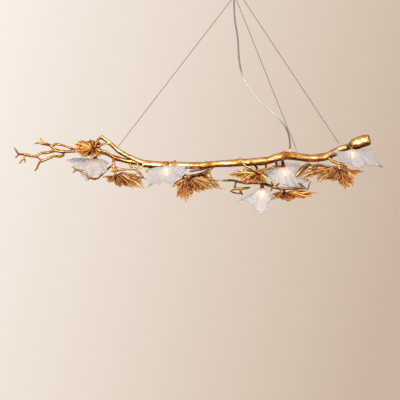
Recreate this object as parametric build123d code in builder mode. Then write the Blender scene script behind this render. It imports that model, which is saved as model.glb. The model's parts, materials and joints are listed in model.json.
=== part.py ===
"""Leaf pendant light: a gilded branch on three cables with cast leaves and glass leaf shades.

Millimetres, +Z up, front towards -Y. The origin is the centre of the ceiling bracket on the ceiling plane.
"""

import math
import os

from build123d import *

os.makedirs("parts", exist_ok=True)

# Placing from the photograph: a column and a row name a point of the picture, a depth is in millimetres.
PIXEL = 4.0  # size of one picture element at the branch
HANG_COLUMN = 236.9  # picture column below which the light hangs
PHOTO_TOP = 104.0  # distance of the picture's top edge below the ceiling
SETBACK = 11.0  # shift of the whole branch that brings its centre of mass below the tilt pins

# Ceiling bracket
BRACKET_WIDTH = 24.0
BRACKET_THICKNESS = 3.0
BRACKET_LENGTH = 116.0
BRIDGE_LENGTH = 60.0
BRIDGE_DROP = 13.0
BRIDGE_SLOPE = 6.0
SLOT_SPACING = 88.0
SLOT_WIDTH = 5.5
SLOT_LENGTH = 14.0

# Canopy
CANOPY_RADIUS = 66.0
CANOPY_DEPTH = 34.0
CANOPY_FLAT = 44.0
CANOPY_RIM = 8.0
CANOPY_WALL = 1.2
STUD_SPACING = 48.0
STUD_RADIUS = 2.0
STUD_TAIL = 8.0
NUT_RADIUS = 5.0
NUT_HEIGHT = 11.0
TERMINAL_SIZE = (12.0, 20.0, 12.0)
TERMINAL_OFFSET = 14.5
EARTH_OFFSET = 15.0
EARTH_HEAD_RADIUS = 4.0
EARTH_HEAD_HEIGHT = 2.5

# Swivel
STEM_RADIUS = 7.0
STEM_BORE = 4.0
PIVOT_DROP = 54.0
BALL_RADIUS = 13.0
CUP_WALL = 3.7
LUG_WIDTH = 12.0
LUG_DROP = 6.0
PIN_RADIUS = 2.0
PIN_GRIP = 6.0
WASHER_RADIUS = 12.0
WASHER_THICKNESS = 1.2
SWIVEL_NUT_FLATS = 22.0
SWIVEL_NUT_HEIGHT = 6.0

# Cable hub
HUB_RADIUS = 30.0
HUB_DROP = 16.0  # top face below the tilt pins
HUB_THICKNESS = 22.0
HUB_EDGE = 3.0
NECK_RADIUS = 7.0
CABLE_CIRCLE = 18.4
HUB_CLOCKING = -10.0
CORD_EXIT_X = -11.6
CORD_EXIT_Y = 1.0

# Cables, grippers and ferrules
CABLE_RADIUS = 1.0
GRIPPER_RADIUS = 4.5
GRIPPER_DEPTH = 14.0
GRIPPER_REACH = 4.0
SLEEVE_RADIUS = 2.8
SLEEVE_LENGTH = 10.0
SLEEVE_REACH = 4.0
SLEEVE_TRAVEL = 2.0
FERRULE_RADIUS = 2.6
FERRULE_REACH = 11.0

# Power cord
CORD_RADIUS = 3.2
CORD_GRIP_RADIUS = 5.2
CORD_GRIP_HEIGHT = 6.0
GLAND_RADIUS = 3.6
GLAND_RING_RADIUS = 4.6
GLAND_RING_HEIGHT = 5.0
GLAND_TOP = 31.5  # the gland's mouth above the middle line of the branch's hump
GLAND_DEPTH = 7.0

# Butt end
BUTT_LENGTH = 82.0
BUTT_RADIUS = 19.2
BUTT_STEP_RADIUS = 15.0
BUTT_STEP = 6.0
BUTT_NOSE = 9.0
TENON_RADIUS = 9.0
TENON_LENGTH = 16.0

# Sheets of the leaves and shades. A lobe's corners run from its tip to its last tooth, each as a share of the
# turn to the next lobe, a share of the lobe's reach and a share of its crease.
LOBE_TURN = 1.18  # widest turn, in radians, that a lobe's teeth spread over
NOTCH_FALL = 0.2  # how much deeper a notch is for each radian between its lobes
NOTCH_TURN = 2.1  # turn from which the notches stay equally deep
CREASE_SHARE = 0.05  # tallest crease as a share of the lobe's reach

# Gold leaves
LEAF_THICKNESS = 2.2
LEAF_SEAT = 7.0
LEAF_CREASE = 5.0
LEAF_NOTCH = 0.84
LEAF_BOW = 1.4  # above 1 a lobe bends towards its tip, below 1 towards its seat
LEAF_LOBE = ((0.0, 1.0, 1.0), (0.08, 0.84, 0.6), (0.15, 0.89, 0.4), (0.24, 0.73, 0.1), (0.34, 0.81, 0.0))

# Glass shades and lamp holders, measured along the lamp's axis from the top of the glass seat
GLASS_THICKNESS = 4.0
GLASS_SEAT = 15.0
GLASS_CREASE = 2.5
GLASS_NOTCH = 1.0
GLASS_BOW = 0.8
GLASS_LOBE = ((0.0, 1.0, 1.0), (0.17, 0.86, 0.2), (0.34, 0.86, 0.0))
NIPPLE_RADIUS = 5.0
NIPPLE_REACH = 12.0
CAP_RADIUS = 10.0
CAP_HEIGHT = 4.0
BOSS_RADIUS = 7.0
BOSS_HEIGHT = 10.0
GASKET_RADIUS = 9.5
GASKET_THICKNESS = 1.0
SHELL_RADIUS = 10.5
SHELL_LENGTH = 7.0
SHELL_PLATE = 1.5
SHELL_WALL = 1.5
HOLDER_LENGTH = 5.0
PIN_SPREAD = 9.0
LAMP_PIN_RADIUS = 0.9
LAMP_PIN_LENGTH = 4.0
BULB_RADIUS = 7.4
BULB_LENGTH = 27.0
BULB_BASE_RADIUS = 6.4
BULB_BASE_LENGTH = 5.0

# Clearances
RUNNING_FIT = 0.05
SLIDE_GAP = 0.3
HOLE_GAP = 0.3
STEM_GAP = 0.6


def spot(column, row, depth=0.0):
    """Place of a picture point at the given depth."""
    return Vector((column - HANG_COLUMN) * PIXEL, depth + SETBACK, -PHOTO_TOP - row * PIXEL)


def limb(stations):
    """Round limb through stations of column, row, depth and radius."""
    centres = [spot(*station[:3]) for station in stations]
    last = len(stations) - 1
    runs = []
    for index in range(last + 1):
        run = centres[min(index + 1, last)] - centres[max(index - 1, 0)]
        runs.append(run.normalized())
    across = Vector(0, 1, 0)
    if max(abs(run.Y) for run in runs) > 0.8:
        across = Vector(1, 0, 0)
    with BuildPart() as shape:
        for centre, run, station in zip(centres, runs, stations):
            with BuildSketch(Plane(origin=centre, x_dir=across, z_dir=run)):
                Circle(station[3])
        loft(ruled=True)
    return shape.part


def joined(*shapes):
    """One casting made of several shapes."""
    with BuildPart() as casting:
        for shape in shapes:
            add(shape)
    return casting.part


def carved(shape, *others):
    """Shape without what the others fill, so that it seats on them."""
    with BuildPart() as rest:
        add(shape)
        for other in others:
            add(other, mode=Mode.SUBTRACT)
    return rest.part


def profile_plane(origin, axis):
    """Plane for a turned profile: local x is the radius, local y runs along the axis."""
    radial = Plane(origin=origin, z_dir=axis).x_dir
    return Plane(origin=origin, x_dir=radial, z_dir=radial.cross(axis))


def turned(origin, axis, outline):
    """Solid of revolution from an outline of radius and height."""
    with BuildPart() as body:
        with BuildSketch(profile_plane(origin, axis)):
            with BuildLine():
                Polyline(*outline, close=True)
            make_face()
        revolve(axis=Axis(origin, axis))
    return body.part


def rod(origin, axis, radius, low, high):
    """Round rod along an axis between two distances from its origin."""
    with BuildPart() as body:
        with BuildSketch(Plane(origin=origin + axis * low, z_dir=axis)):
            Circle(radius)
        extrude(amount=high - low)
    return body.part


def facet(first, second, third):
    """One flat triangle."""
    return Face(Wire.make_polygon([first, second, third], close=True))


def blade(plane, tips, lobe, notch, seat, thickness, crease, bow):
    """Lobed leaf sheet that falls from a flat round seat to its tips, with one crease along every lobe.

    The tips are vectors from the plane's origin. Between two lobes lies a notch, deeper where they stand
    further apart.
    """
    local = [plane.to_local_coords(plane.origin + tip) for tip in tips]
    polar = [(math.atan2(tip.Y, tip.X), math.hypot(tip.X, tip.Y), tip.Z) for tip in local]
    polar.sort()
    spokes = []
    for index, (angle, reach, fall) in enumerate(polar):
        next_angle, next_reach, next_fall = polar[(index + 1) % len(polar)]
        gap = (next_angle - angle) % (2 * math.pi)
        spread = min(gap, LOBE_TURN)
        middle = (reach + next_reach) / 2
        depth = notch - NOTCH_FALL * min(gap, NOTCH_TURN)
        for turn, share, ridge in lobe:
            spokes.append((angle + turn * spread, share * reach, reach, fall, ridge))
        spokes.append((angle + gap / 2, depth * middle, middle, (fall + next_fall) / 2, -1.0))
        for turn, share, ridge in lobe[:0:-1]:
            spokes.append((angle + gap - turn * spread, share * next_reach, next_reach, next_fall, ridge))
    rings = []
    for step in (0, 1, 2, 3):
        ring = []
        for angle, edge, full, fall, ridge in spokes:
            radius = seat + (max(edge, 1.6 * seat) - seat) * step / 3
            share = (radius - seat) / (full - seat)
            rise = min(crease, CREASE_SHARE * full) * ridge
            height = fall * share**bow + rise * math.sin(math.pi * min(step / 3, 0.9))
            if step == 0:
                height = 0.0
            ring.append(Vector(radius * math.cos(angle), radius * math.sin(angle), height))
        rings.append(ring)
    count = len(spokes)
    under = []
    for step, ring in enumerate(rings):
        row = []
        for index, point in enumerate(ring):
            side = ring[(index + 1) % count] - ring[index - 1]
            out = rings[min(step + 1, 3)][index] - rings[max(step - 1, 0)][index]
            normal = out.cross(side).normalized()
            wall = thickness
            if step > 0:
                wall = thickness / max(normal.Z, 0.5)
            row.append(point - Vector(0, 0, wall))
        under.append(row)
    faces = [
        Face(Wire.make_polygon([plane.from_local_coords(point) for point in row], close=True))
        for row in (rings[0], under[0])
    ]

    def band(inner, outer):
        for index in range(count):
            after = (index + 1) % count
            corners = (inner[index], outer[index], outer[after], inner[after])
            a, b, c, d = [plane.from_local_coords(corner) for corner in corners]
            faces.append(facet(a, b, c))
            faces.append(facet(a, c, d))

    for step in range(3):
        band(rings[step], rings[step + 1])
        band(under[step], under[step + 1])
    band(rings[3], under[3])
    return Solid(Shell(faces))


# Ceiling bracket: a strap bent into a bridge, with a slot in each foot
half_bridge = BRIDGE_LENGTH / 2
foot_start = half_bridge + BRIDGE_SLOPE
bridge_bottom = -BRIDGE_DROP - BRACKET_THICKNESS
stem_hole = STEM_RADIUS + RUNNING_FIT
with BuildPart() as ceiling_bracket:
    with BuildSketch(Plane.XZ):
        with BuildLine():
            Polyline(
                (-BRACKET_LENGTH / 2, 0),
                (-foot_start, 0),
                (-half_bridge, -BRIDGE_DROP),
                (half_bridge, -BRIDGE_DROP),
                (foot_start, 0),
                (BRACKET_LENGTH / 2, 0),
                (BRACKET_LENGTH / 2, -BRACKET_THICKNESS),
                (foot_start + 1.5, -BRACKET_THICKNESS),
                (half_bridge + 1.5, bridge_bottom),
                (-half_bridge - 1.5, bridge_bottom),
                (-foot_start - 1.5, -BRACKET_THICKNESS),
                (-BRACKET_LENGTH / 2, -BRACKET_THICKNESS),
                close=True,
            )
        make_face()
    extrude(amount=BRACKET_WIDTH / 2, both=True)
    with BuildSketch(Plane.XY):
        with Locations((-SLOT_SPACING / 2, 0), (SLOT_SPACING / 2, 0)):
            SlotOverall(SLOT_LENGTH, SLOT_WIDTH)
    extrude(amount=-BRACKET_THICKNESS, mode=Mode.SUBTRACT)
    with BuildSketch(Plane.XY):
        Circle(stem_hole)
        with Locations((-STUD_SPACING / 2, 0), (STUD_SPACING / 2, 0)):
            Circle(STUD_RADIUS)
        with Locations((-EARTH_OFFSET, 0)):
            Circle(STUD_RADIUS)
    extrude(amount=bridge_bottom, mode=Mode.SUBTRACT)
ceiling_bracket.part.label = "ceiling_bracket"
export_step(ceiling_bracket.part, "parts/ceiling_bracket.step")

stud_length = CANOPY_DEPTH + STUD_TAIL - BRIDGE_DROP
with BuildPart() as canopy_studs:
    with BuildSketch(Plane.XY.offset(-BRIDGE_DROP)):
        with Locations((-STUD_SPACING / 2, 0), (STUD_SPACING / 2, 0)):
            Circle(STUD_RADIUS)
    extrude(amount=-stud_length)
canopy_studs.part.label = "canopy_studs"
export_step(canopy_studs.part, "parts/canopy_studs.step")

with BuildPart() as earth_screw:
    with BuildSketch(Plane.XY.offset(-BRIDGE_DROP)):
        with Locations((-EARTH_OFFSET, 0)):
            Circle(STUD_RADIUS)
    extrude(amount=-BRACKET_THICKNESS)
    with BuildSketch(Plane.XY.offset(bridge_bottom)):
        with Locations((-EARTH_OFFSET, 0)):
            Circle(EARTH_HEAD_RADIUS)
    extrude(amount=-EARTH_HEAD_HEIGHT)
earth_screw.part.label = "earth_screw"
export_step(earth_screw.part, "parts/earth_screw.step")

with BuildPart() as terminal_block:
    with BuildSketch(Plane.XY.offset(bridge_bottom)):
        with Locations((TERMINAL_OFFSET, 0)):
            Rectangle(TERMINAL_SIZE[0], TERMINAL_SIZE[1])
    extrude(amount=-TERMINAL_SIZE[2])
    with BuildSketch(Plane.XY.offset(bridge_bottom - TERMINAL_SIZE[2])):
        with Locations((TERMINAL_OFFSET, 0)):
            with GridLocations(0, TERMINAL_SIZE[1] / 3, 1, 3):
                Circle(TERMINAL_SIZE[1] / 9)
    extrude(amount=TERMINAL_SIZE[2] / 2, mode=Mode.SUBTRACT)
terminal_block.part.label = "terminal_block"
export_step(terminal_block.part, "parts/terminal_block.step")

# Canopy cover: a spun dish with the stem hole and two stud holes
inside = CANOPY_RADIUS - CANOPY_WALL
floor = CANOPY_DEPTH - CANOPY_WALL
shoulder = (CANOPY_RADIUS - CANOPY_FLAT) * 0.74 + CANOPY_FLAT
waist = (CANOPY_DEPTH - CANOPY_RIM) * 0.66 + CANOPY_RIM
with BuildPart() as canopy_cover:
    with BuildSketch(Plane.XZ):
        with BuildLine():
            Line((STEM_RADIUS + STEM_GAP, -CANOPY_DEPTH), (CANOPY_FLAT, -CANOPY_DEPTH))
            ThreePointArc((CANOPY_FLAT, -CANOPY_DEPTH), (shoulder, -waist), (CANOPY_RADIUS, -CANOPY_RIM))
            Line((CANOPY_RADIUS, -CANOPY_RIM), (CANOPY_RADIUS, 0))
            Line((CANOPY_RADIUS, 0), (inside, 0))
            Line((inside, 0), (inside, -CANOPY_RIM))
            ThreePointArc((inside, -CANOPY_RIM), (shoulder - 1, -waist + 0.7), (CANOPY_FLAT, -floor))
            Line((CANOPY_FLAT, -floor), (STEM_RADIUS + STEM_GAP, -floor))
            Line((STEM_RADIUS + STEM_GAP, -floor), (STEM_RADIUS + STEM_GAP, -CANOPY_DEPTH))
        make_face()
    revolve(axis=Axis.Z)
    with BuildSketch(Plane.XY.offset(-CANOPY_DEPTH)):
        with Locations((-STUD_SPACING / 2, 0), (STUD_SPACING / 2, 0)):
            Circle(STUD_RADIUS + HOLE_GAP)
    extrude(amount=CANOPY_WALL, mode=Mode.SUBTRACT)
canopy_cover.part.label = "canopy_cover"
export_step(canopy_cover.part, "parts/canopy_cover.step")

nut_bore = STUD_RADIUS + RUNNING_FIT
for side, sign in (("left", -1), ("right", 1)):
    seat = Vector(sign * STUD_SPACING / 2, 0, -CANOPY_DEPTH)
    with BuildPart() as canopy_nut:
        with BuildSketch(profile_plane(seat, Vector(0, 0, -1))):
            with BuildLine():
                Polyline(
                    (0, NUT_HEIGHT),
                    (0, STUD_TAIL + 0.5),
                    (nut_bore, STUD_TAIL + 0.5),
                    (nut_bore, 0),
                    (NUT_RADIUS * 0.8, 0),
                    (NUT_RADIUS, NUT_HEIGHT * 0.25),
                    (NUT_RADIUS, NUT_HEIGHT - NUT_RADIUS),
                )
                ThreePointArc(
                    (NUT_RADIUS, NUT_HEIGHT - NUT_RADIUS),
                    (NUT_RADIUS * math.sqrt(0.5), NUT_HEIGHT - NUT_RADIUS * (1 - math.sqrt(0.5))),
                    (0, NUT_HEIGHT),
                )
            make_face()
        revolve(axis=Axis(seat, (0, 0, -1)))
    canopy_nut.part.label = f"canopy_nut_{side}"
    export_step(canopy_nut.part, f"parts/canopy_nut_{side}.step")

# Swivel: hollow stem with a half-ball cup, held on the bridge by a washer and a nut
pivot = Vector(0, 0, -PIVOT_DROP)
cup_bore = BALL_RADIUS + SLIDE_GAP
cup_radius = cup_bore + CUP_WALL
washer_top = -BRIDGE_DROP + WASHER_THICKNESS
nut_top = washer_top + SWIVEL_NUT_HEIGHT
with BuildPart() as swivel_stem:
    with Locations(pivot):
        Sphere(cup_radius)
    with BuildSketch(Plane.XY.offset(-PIVOT_DROP - cup_radius)):
        Rectangle(3 * cup_radius, 3 * cup_radius)
    extrude(amount=cup_radius, mode=Mode.SUBTRACT)
    with BuildSketch(Plane.XY.offset(-PIVOT_DROP - LUG_DROP)):
        with Locations((-cup_radius + CUP_WALL / 2, 0), (cup_radius - CUP_WALL / 2, 0)):
            Rectangle(CUP_WALL, LUG_WIDTH)
    extrude(amount=2 * LUG_DROP)
    with BuildSketch(Plane.XY.offset(-PIVOT_DROP)):
        Circle(STEM_RADIUS)
    extrude(amount=PIVOT_DROP + nut_top + 1)
    with Locations(pivot):
        Sphere(cup_bore, mode=Mode.SUBTRACT)
    with BuildSketch(Plane.XY.offset(-PIVOT_DROP)):
        Circle(STEM_BORE)
    extrude(amount=PIVOT_DROP, mode=Mode.SUBTRACT)
    with BuildSketch(Plane.YZ.offset(-1.5 * cup_radius)):
        with Locations((0, -PIVOT_DROP)):
            Circle(PIN_RADIUS)
    extrude(amount=3 * cup_radius, mode=Mode.SUBTRACT)
swivel_stem.part.label = "swivel_stem"
export_step(swivel_stem.part, "parts/swivel_stem.step")

pin_start = cup_bore - PIN_GRIP
with BuildPart() as tilt_pins:
    for start in (-cup_radius, pin_start):
        with BuildSketch(Plane.YZ.offset(start)):
            with Locations((0, -PIVOT_DROP)):
                Circle(PIN_RADIUS)
        extrude(amount=cup_radius - pin_start)
tilt_pins.part.label = "tilt_pins"
export_step(tilt_pins.part, "parts/tilt_pins.step")

with BuildPart() as swivel_washer:
    with BuildSketch(Plane.XY.offset(-BRIDGE_DROP)):
        Circle(WASHER_RADIUS)
        Circle(STEM_RADIUS, mode=Mode.SUBTRACT)
    extrude(amount=WASHER_THICKNESS)
swivel_washer.part.label = "swivel_washer"
export_step(swivel_washer.part, "parts/swivel_washer.step")

with BuildPart() as swivel_nut:
    with BuildSketch(Plane.XY.offset(washer_top)):
        RegularPolygon(SWIVEL_NUT_FLATS / 2, 6, major_radius=False)
        Circle(STEM_RADIUS, mode=Mode.SUBTRACT)
    extrude(amount=SWIVEL_NUT_HEIGHT)
swivel_nut.part.label = "swivel_nut"
export_step(swivel_nut.part, "parts/swivel_nut.step")

# Lines of the three cables, from the hub's lower face to the branch's axis
hub_top = -PIVOT_DROP - HUB_DROP
hub_bottom = hub_top - HUB_THICKNESS
CABLES = (
    ("left", 240, (116.3, 149.0, 0.0), 8.0),
    ("middle", 120, (299.3, 156.4, 3.0), 14.5),
    ("right", 0, (342.2, 148.5, 0.0), 12.0),
)
cable_lines = {}
for name, turn, anchor, branch_radius in CABLES:
    angle = math.radians(HUB_CLOCKING + turn)
    start = Vector(CABLE_CIRCLE * math.cos(angle), CABLE_CIRCLE * math.sin(angle), hub_bottom)
    end = spot(*anchor)
    cable_lines[name] = (start, (end - start).normalized(), (end - start).length, branch_radius)

# Cable hub: disc, neck and bored ball
with BuildPart() as cable_hub:
    with BuildSketch(Plane.XY.offset(hub_bottom)):
        Circle(HUB_RADIUS)
    extrude(amount=HUB_THICKNESS)
    chamfer(cable_hub.edges().filter_by(GeomType.CIRCLE), HUB_EDGE)
    with BuildSketch(Plane.XY.offset(hub_top)):
        Circle(NECK_RADIUS)
    extrude(amount=HUB_DROP)
    with Locations(pivot):
        Sphere(BALL_RADIUS)
    with BuildSketch(Plane.XY.offset(hub_top)):
        Circle(STEM_BORE)
    extrude(amount=HUB_DROP + BALL_RADIUS, mode=Mode.SUBTRACT)
    with BuildSketch(Plane.YZ.offset(-1.5 * BALL_RADIUS)):
        with Locations((0, -PIVOT_DROP)):
            Circle(PIN_RADIUS + RUNNING_FIT)
    extrude(amount=3 * BALL_RADIUS, mode=Mode.SUBTRACT)
    for start, along, length, branch_radius in cable_lines.values():
        with BuildSketch(Plane(origin=start - along * GRIPPER_DEPTH, z_dir=along)):
            Circle(GRIPPER_RADIUS)
        extrude(amount=2 * GRIPPER_DEPTH, mode=Mode.SUBTRACT)
cable_hub.part.label = "cable_hub"
export_step(cable_hub.part, "parts/cable_hub.step")

# Grippers, release sleeves, cables and ferrules, all on the cables' lines
sleeve_bore = CABLE_RADIUS + HOLE_GAP
sleeve_top = GRIPPER_REACH + SLEEVE_REACH - SLEEVE_LENGTH
gripper_bodies = []
ferrules = []
for name, (start, along, length, branch_radius) in cable_lines.items():
    cable = rod(start, along, CABLE_RADIUS, 2 - GRIPPER_DEPTH, length - FERRULE_RADIUS)
    pocket = rod(start, along, SLEEVE_RADIUS + SLIDE_GAP, sleeve_top - SLEEVE_TRAVEL - 1, 2 * GRIPPER_REACH)
    gripper_bodies.append(
        carved(rod(start, along, GRIPPER_RADIUS, -GRIPPER_DEPTH, GRIPPER_REACH), pocket, cable)
    )
    with BuildPart() as sleeve:
        add(rod(start, along, SLEEVE_RADIUS, sleeve_top, sleeve_top + SLEEVE_LENGTH))
        sleeve_hole = rod(start, along, sleeve_bore, sleeve_top - 1, sleeve_top + SLEEVE_LENGTH + 1)
        add(sleeve_hole, mode=Mode.SUBTRACT)
    sleeve.part.label = f"release_sleeve_{name}"
    export_step(sleeve.part, f"parts/release_sleeve_{name}.step")
    with BuildPart() as strand:
        add(cable)
    strand.part.label = f"cable_{name}"
    export_step(strand.part, f"parts/cable_{name}.step")
    reach = branch_radius + FERRULE_REACH
    outline = (
        (0, 0),
        (FERRULE_RADIUS, 0),
        (FERRULE_RADIUS, reach - 5),
        (CABLE_RADIUS + 0.6, reach),
        (0, reach),
    )
    ferrules.append((start + along * length, along * -1, outline, cable))
with BuildPart() as grippers:
    for body in gripper_bodies:
        add(body)
grippers.part.label = "grippers"
export_step(grippers.part, "parts/grippers.step")

# Main branch from the butt end to the tip of the upper left fork
BRANCH = (
    (350.5, 146.3, -2, 12.0),
    (345.0, 147.6, 0, 11.8),
    (340.0, 149.3, 1, 11.6),
    (335.0, 152.0, 2, 12.0),
    (330.0, 154.6, 3, 12.4),
    (325.0, 156.3, 4, 13.0),
    (319.0, 157.4, 4, 13.8),
    (312.0, 157.9, 4, 12.4),
    (305.0, 157.6, 3, 12.8),
    (300.0, 156.8, 2, 13.8),
    (294.0, 155.8, 0, 14.6),
    (287.0, 155.4, -1, 14.4),
    (280.5, 156.3, -2, 14.0),
    (275.0, 158.0, -2, 14.0),
    (269.0, 160.0, -2, 12.2),
    (261.0, 161.1, -1, 13.2),
    (252.0, 161.7, 0, 12.4),
    (244.5, 162.2, 1, 12.0),
    (240.0, 162.4, 1, 14.0),
    (235.5, 162.7, 1, 12.0),
    (225.0, 163.3, 2, 11.8),
    (215.0, 163.7, 4, 10.4),
    (203.0, 164.8, 4, 10.2),
    (190.0, 165.1, 4, 10.6),
    (178.0, 164.9, 3, 11.6),
    (165.0, 164.8, 1, 12.4),
    (152.0, 164.4, 0, 13.6),
    (144.0, 163.3, 0, 12.4),
    (138.0, 161.2, 0, 10.2),
    (131.0, 157.8, 0, 9.0),
    (123.5, 154.0, 0, 8.4),
    (117.5, 150.2, 0, 8.2),
    (113.9, 146.6, -1, 7.6),
    (108.0, 141.5, -1, 7.0),
    (101.0, 136.8, -2, 6.2),
)
branch_end = spot(*BRANCH[0][:3])
butt_axis = (spot(369.3, 140.3, -28) - branch_end).normalized()
gland_foot = spot(290.0, 155.6, -1)
gland_up = Vector(0, 0, 1)
with BuildPart() as butt_end:
    with BuildSketch(profile_plane(branch_end, butt_axis)):
        with BuildLine():
            Polyline(
                (0, TENON_LENGTH),
                (TENON_RADIUS, TENON_LENGTH),
                (TENON_RADIUS, 0),
                (BUTT_STEP_RADIUS, 0),
                (BUTT_RADIUS * 0.93, BUTT_STEP),
            )
            ThreePointArc(
                (BUTT_RADIUS * 0.93, BUTT_STEP),
                (BUTT_RADIUS, BUTT_LENGTH * 0.45),
                (BUTT_RADIUS * 0.92, BUTT_LENGTH - BUTT_NOSE),
            )
            ThreePointArc(
                (BUTT_RADIUS * 0.92, BUTT_LENGTH - BUTT_NOSE),
                (BUTT_RADIUS * 0.8, BUTT_LENGTH - BUTT_NOSE * 0.25),
                (BUTT_RADIUS * 0.55, BUTT_LENGTH),
            )
            Line((BUTT_RADIUS * 0.55, BUTT_LENGTH), (0, BUTT_LENGTH))
            Line((0, BUTT_LENGTH), (0, TENON_LENGTH))
        make_face()
    revolve(axis=Axis(branch_end, butt_axis))
butt_end.part.label = "butt_end"
export_step(butt_end.part, "parts/butt_end.step")

bare_branch = limb(BRANCH)
with BuildPart() as main_branch:
    add(bare_branch)
    add(rod(branch_end, butt_axis, TENON_RADIUS, -4, TENON_LENGTH))
    add(butt_end.part, mode=Mode.SUBTRACT)
    for foot, up, outline, cable in ferrules:
        add(turned(foot, up, outline), mode=Mode.SUBTRACT)
    add(rod(gland_foot, gland_up, GLAND_RADIUS, GLAND_DEPTH, GLAND_TOP), mode=Mode.SUBTRACT)
main_branch.part.label = "main_branch"
export_step(main_branch.part, "parts/main_branch.step")

with BuildPart() as cable_ferrules:
    for foot, up, outline, cable in ferrules:
        add(carved(turned(foot, up, outline), cable))
cable_ferrules.part.label = "cable_ferrules"
export_step(cable_ferrules.part, "parts/cable_ferrules.step")

# Limbs and twigs: every one seats on the limb that carries it
left_limb_shape = joined(
    limb((
        (143.0, 164.0, 0, 8.0),
        (131.8, 161.8, 2, 8.6),
        (123.1, 160.1, 3, 8.2),
        (116.0, 158.2, 3, 8.8),
        (110.5, 155.6, 2, 6.8),
        (105.0, 153.2, 4, 5.8),
        (97.0, 151.4, 8, 5.4),
        (86.0, 150.6, 12, 4.8),
        (75.0, 150.9, 10, 4.8),
        (68.0, 151.6, 8, 4.6),
        (62.5, 151.6, 6, 5.6),
        (59.5, 151.4, 5, 4.6),
    )),
    limb((
        (112.0, 156.0, -2, 4.6),
        (106.0, 152.0, -5, 4.1),
        (99.0, 149.6, -4, 3.9),
        (91.0, 149.8, 4, 3.6),
        (84.0, 150.6, 12, 3.3),
    )),
)
with BuildPart() as left_limb:
    add(carved(left_limb_shape, bare_branch))
left_limb.part.label = "left_limb"
export_step(left_limb.part, "parts/left_limb.step")

long_twig_shape = joined(
    limb((
        (61.0, 151.5, 5, 4.6),
        (55.0, 150.8, 2, 4.6),
        (47.3, 152.8, -6, 4.6),
        (41.1, 153.2, -14, 4.4),
        (36.5, 156.5, -20, 4.6),
        (31.6, 156.3, -28, 3.9),
        (26.4, 154.7, -36, 4.6),
        (19.5, 154.5, -46, 3.6),
        (15.2, 147.8, -52, 2.0),
    )),
    limb(((20.5, 154.5, -45, 3.0), (16.6, 157.8, -50, 2.0))),
    limb(((26.4, 154.2, -36, 3.6), (24.5, 158.6, -38, 3.3), (20.4, 163.2, -44, 2.0))),
    limb(((24.6, 157.9, -38, 2.8), (26.2, 162.5, -34, 2.0))),
)
with BuildPart() as long_twig:
    add(carved(long_twig_shape, left_limb_shape))
long_twig.part.label = "long_twig"
export_step(long_twig.part, "parts/long_twig.step")

lower_twig_shape = joined(
    limb((
        (63.2, 151.8, 7, 4.6),
        (63.2, 155.2, 10, 4.6),
        (60.5, 156.5, 13, 4.6),
        (53.5, 156.1, 18, 4.1),
        (47.3, 158.6, 21, 3.9),
        (42.3, 160.7, 22, 4.4),
        (39.2, 162.0, 24, 3.9),
        (37.4, 165.3, 27, 3.3),
        (36.5, 168.1, 29, 2.6),
        (34.4, 170.5, 31, 2.0),
    )),
    limb(((42.0, 160.4, 22, 3.0), (37.0, 157.4, 12, 2.0))),
)
with BuildPart() as lower_twig:
    add(carved(lower_twig_shape, left_limb_shape, long_twig_shape))
lower_twig.part.label = "lower_twig"
export_step(lower_twig.part, "parts/lower_twig.step")

upper_twig_shape = joined(
    limb((
        (61.8, 151.6, 8, 4.6),
        (55.5, 149.6, 16, 4.1),
        (51.6, 147.0, 20, 4.6),
        (49.2, 144.8, 21, 4.1),
        (42.6, 143.5, 18, 4.4),
        (37.4, 142.6, 14, 2.8),
        (34.5, 143.7, 12, 2.0),
    )),
    limb(((42.6, 143.6, 18, 3.0), (41.6, 140.8, 20, 2.6), (40.5, 138.5, 22, 2.0))),
    limb((
        (51.6, 147.0, 20, 3.3),
        (53.6, 144.6, 18, 3.6),
        (57.0, 144.1, 14, 3.6),
        (63.1, 145.4, 6, 3.3),
        (70.0, 147.8, 2, 3.3),
        (78.0, 150.6, 9, 3.3),
    )),
)
with BuildPart() as upper_twig:
    add(carved(upper_twig_shape, left_limb_shape, long_twig_shape, lower_twig_shape))
upper_twig.part.label = "upper_twig"
export_step(upper_twig.part, "parts/upper_twig.step")

leaf_2_stalk = joined(
    limb((
        (114.0, 158.4, 1, 4.6),
        (113.6, 163.0, -6, 4.6),
        (113.9, 166.9, -10, 4.6),
        (114.3, 171.0, -16, 4.6),
        (116.0, 174.9, -25, 4.1),
    )),
    limb(((114.2, 166.9, -10, 3.0), (111.0, 166.6, -11, 2.2))),
    limb(((114.6, 171.0, -16, 3.0), (111.2, 171.2, -17, 2.2))),
)

under_twig_shape = joined(
    limb((
        (113.8, 164.5, -7, 3.6),
        (109.0, 167.5, 24, 3.2),
        (103.0, 173.0, 46, 3.2),
        (97.6, 178.4, 20, 3.2),
        (94.6, 179.0, -31, 3.2),
        (91.0, 178.0, -56, 3.4),
        (87.6, 174.8, -64, 3.2),
        (84.6, 171.6, -60, 3.4),
        (76.2, 169.8, -46, 3.4),
        (72.9, 166.1, -38, 2.2),
    )),
    limb(((76.6, 169.8, -46, 2.8), (73.7, 172.7, -44, 2.0))),
    limb(((88.4, 175.6, -63, 2.8), (89.4, 180.0, -60, 2.0))),
)
with BuildPart() as under_twig:
    add(carved(under_twig_shape, leaf_2_stalk))
under_twig.part.label = "under_twig"
export_step(under_twig.part, "parts/under_twig.step")

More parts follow.
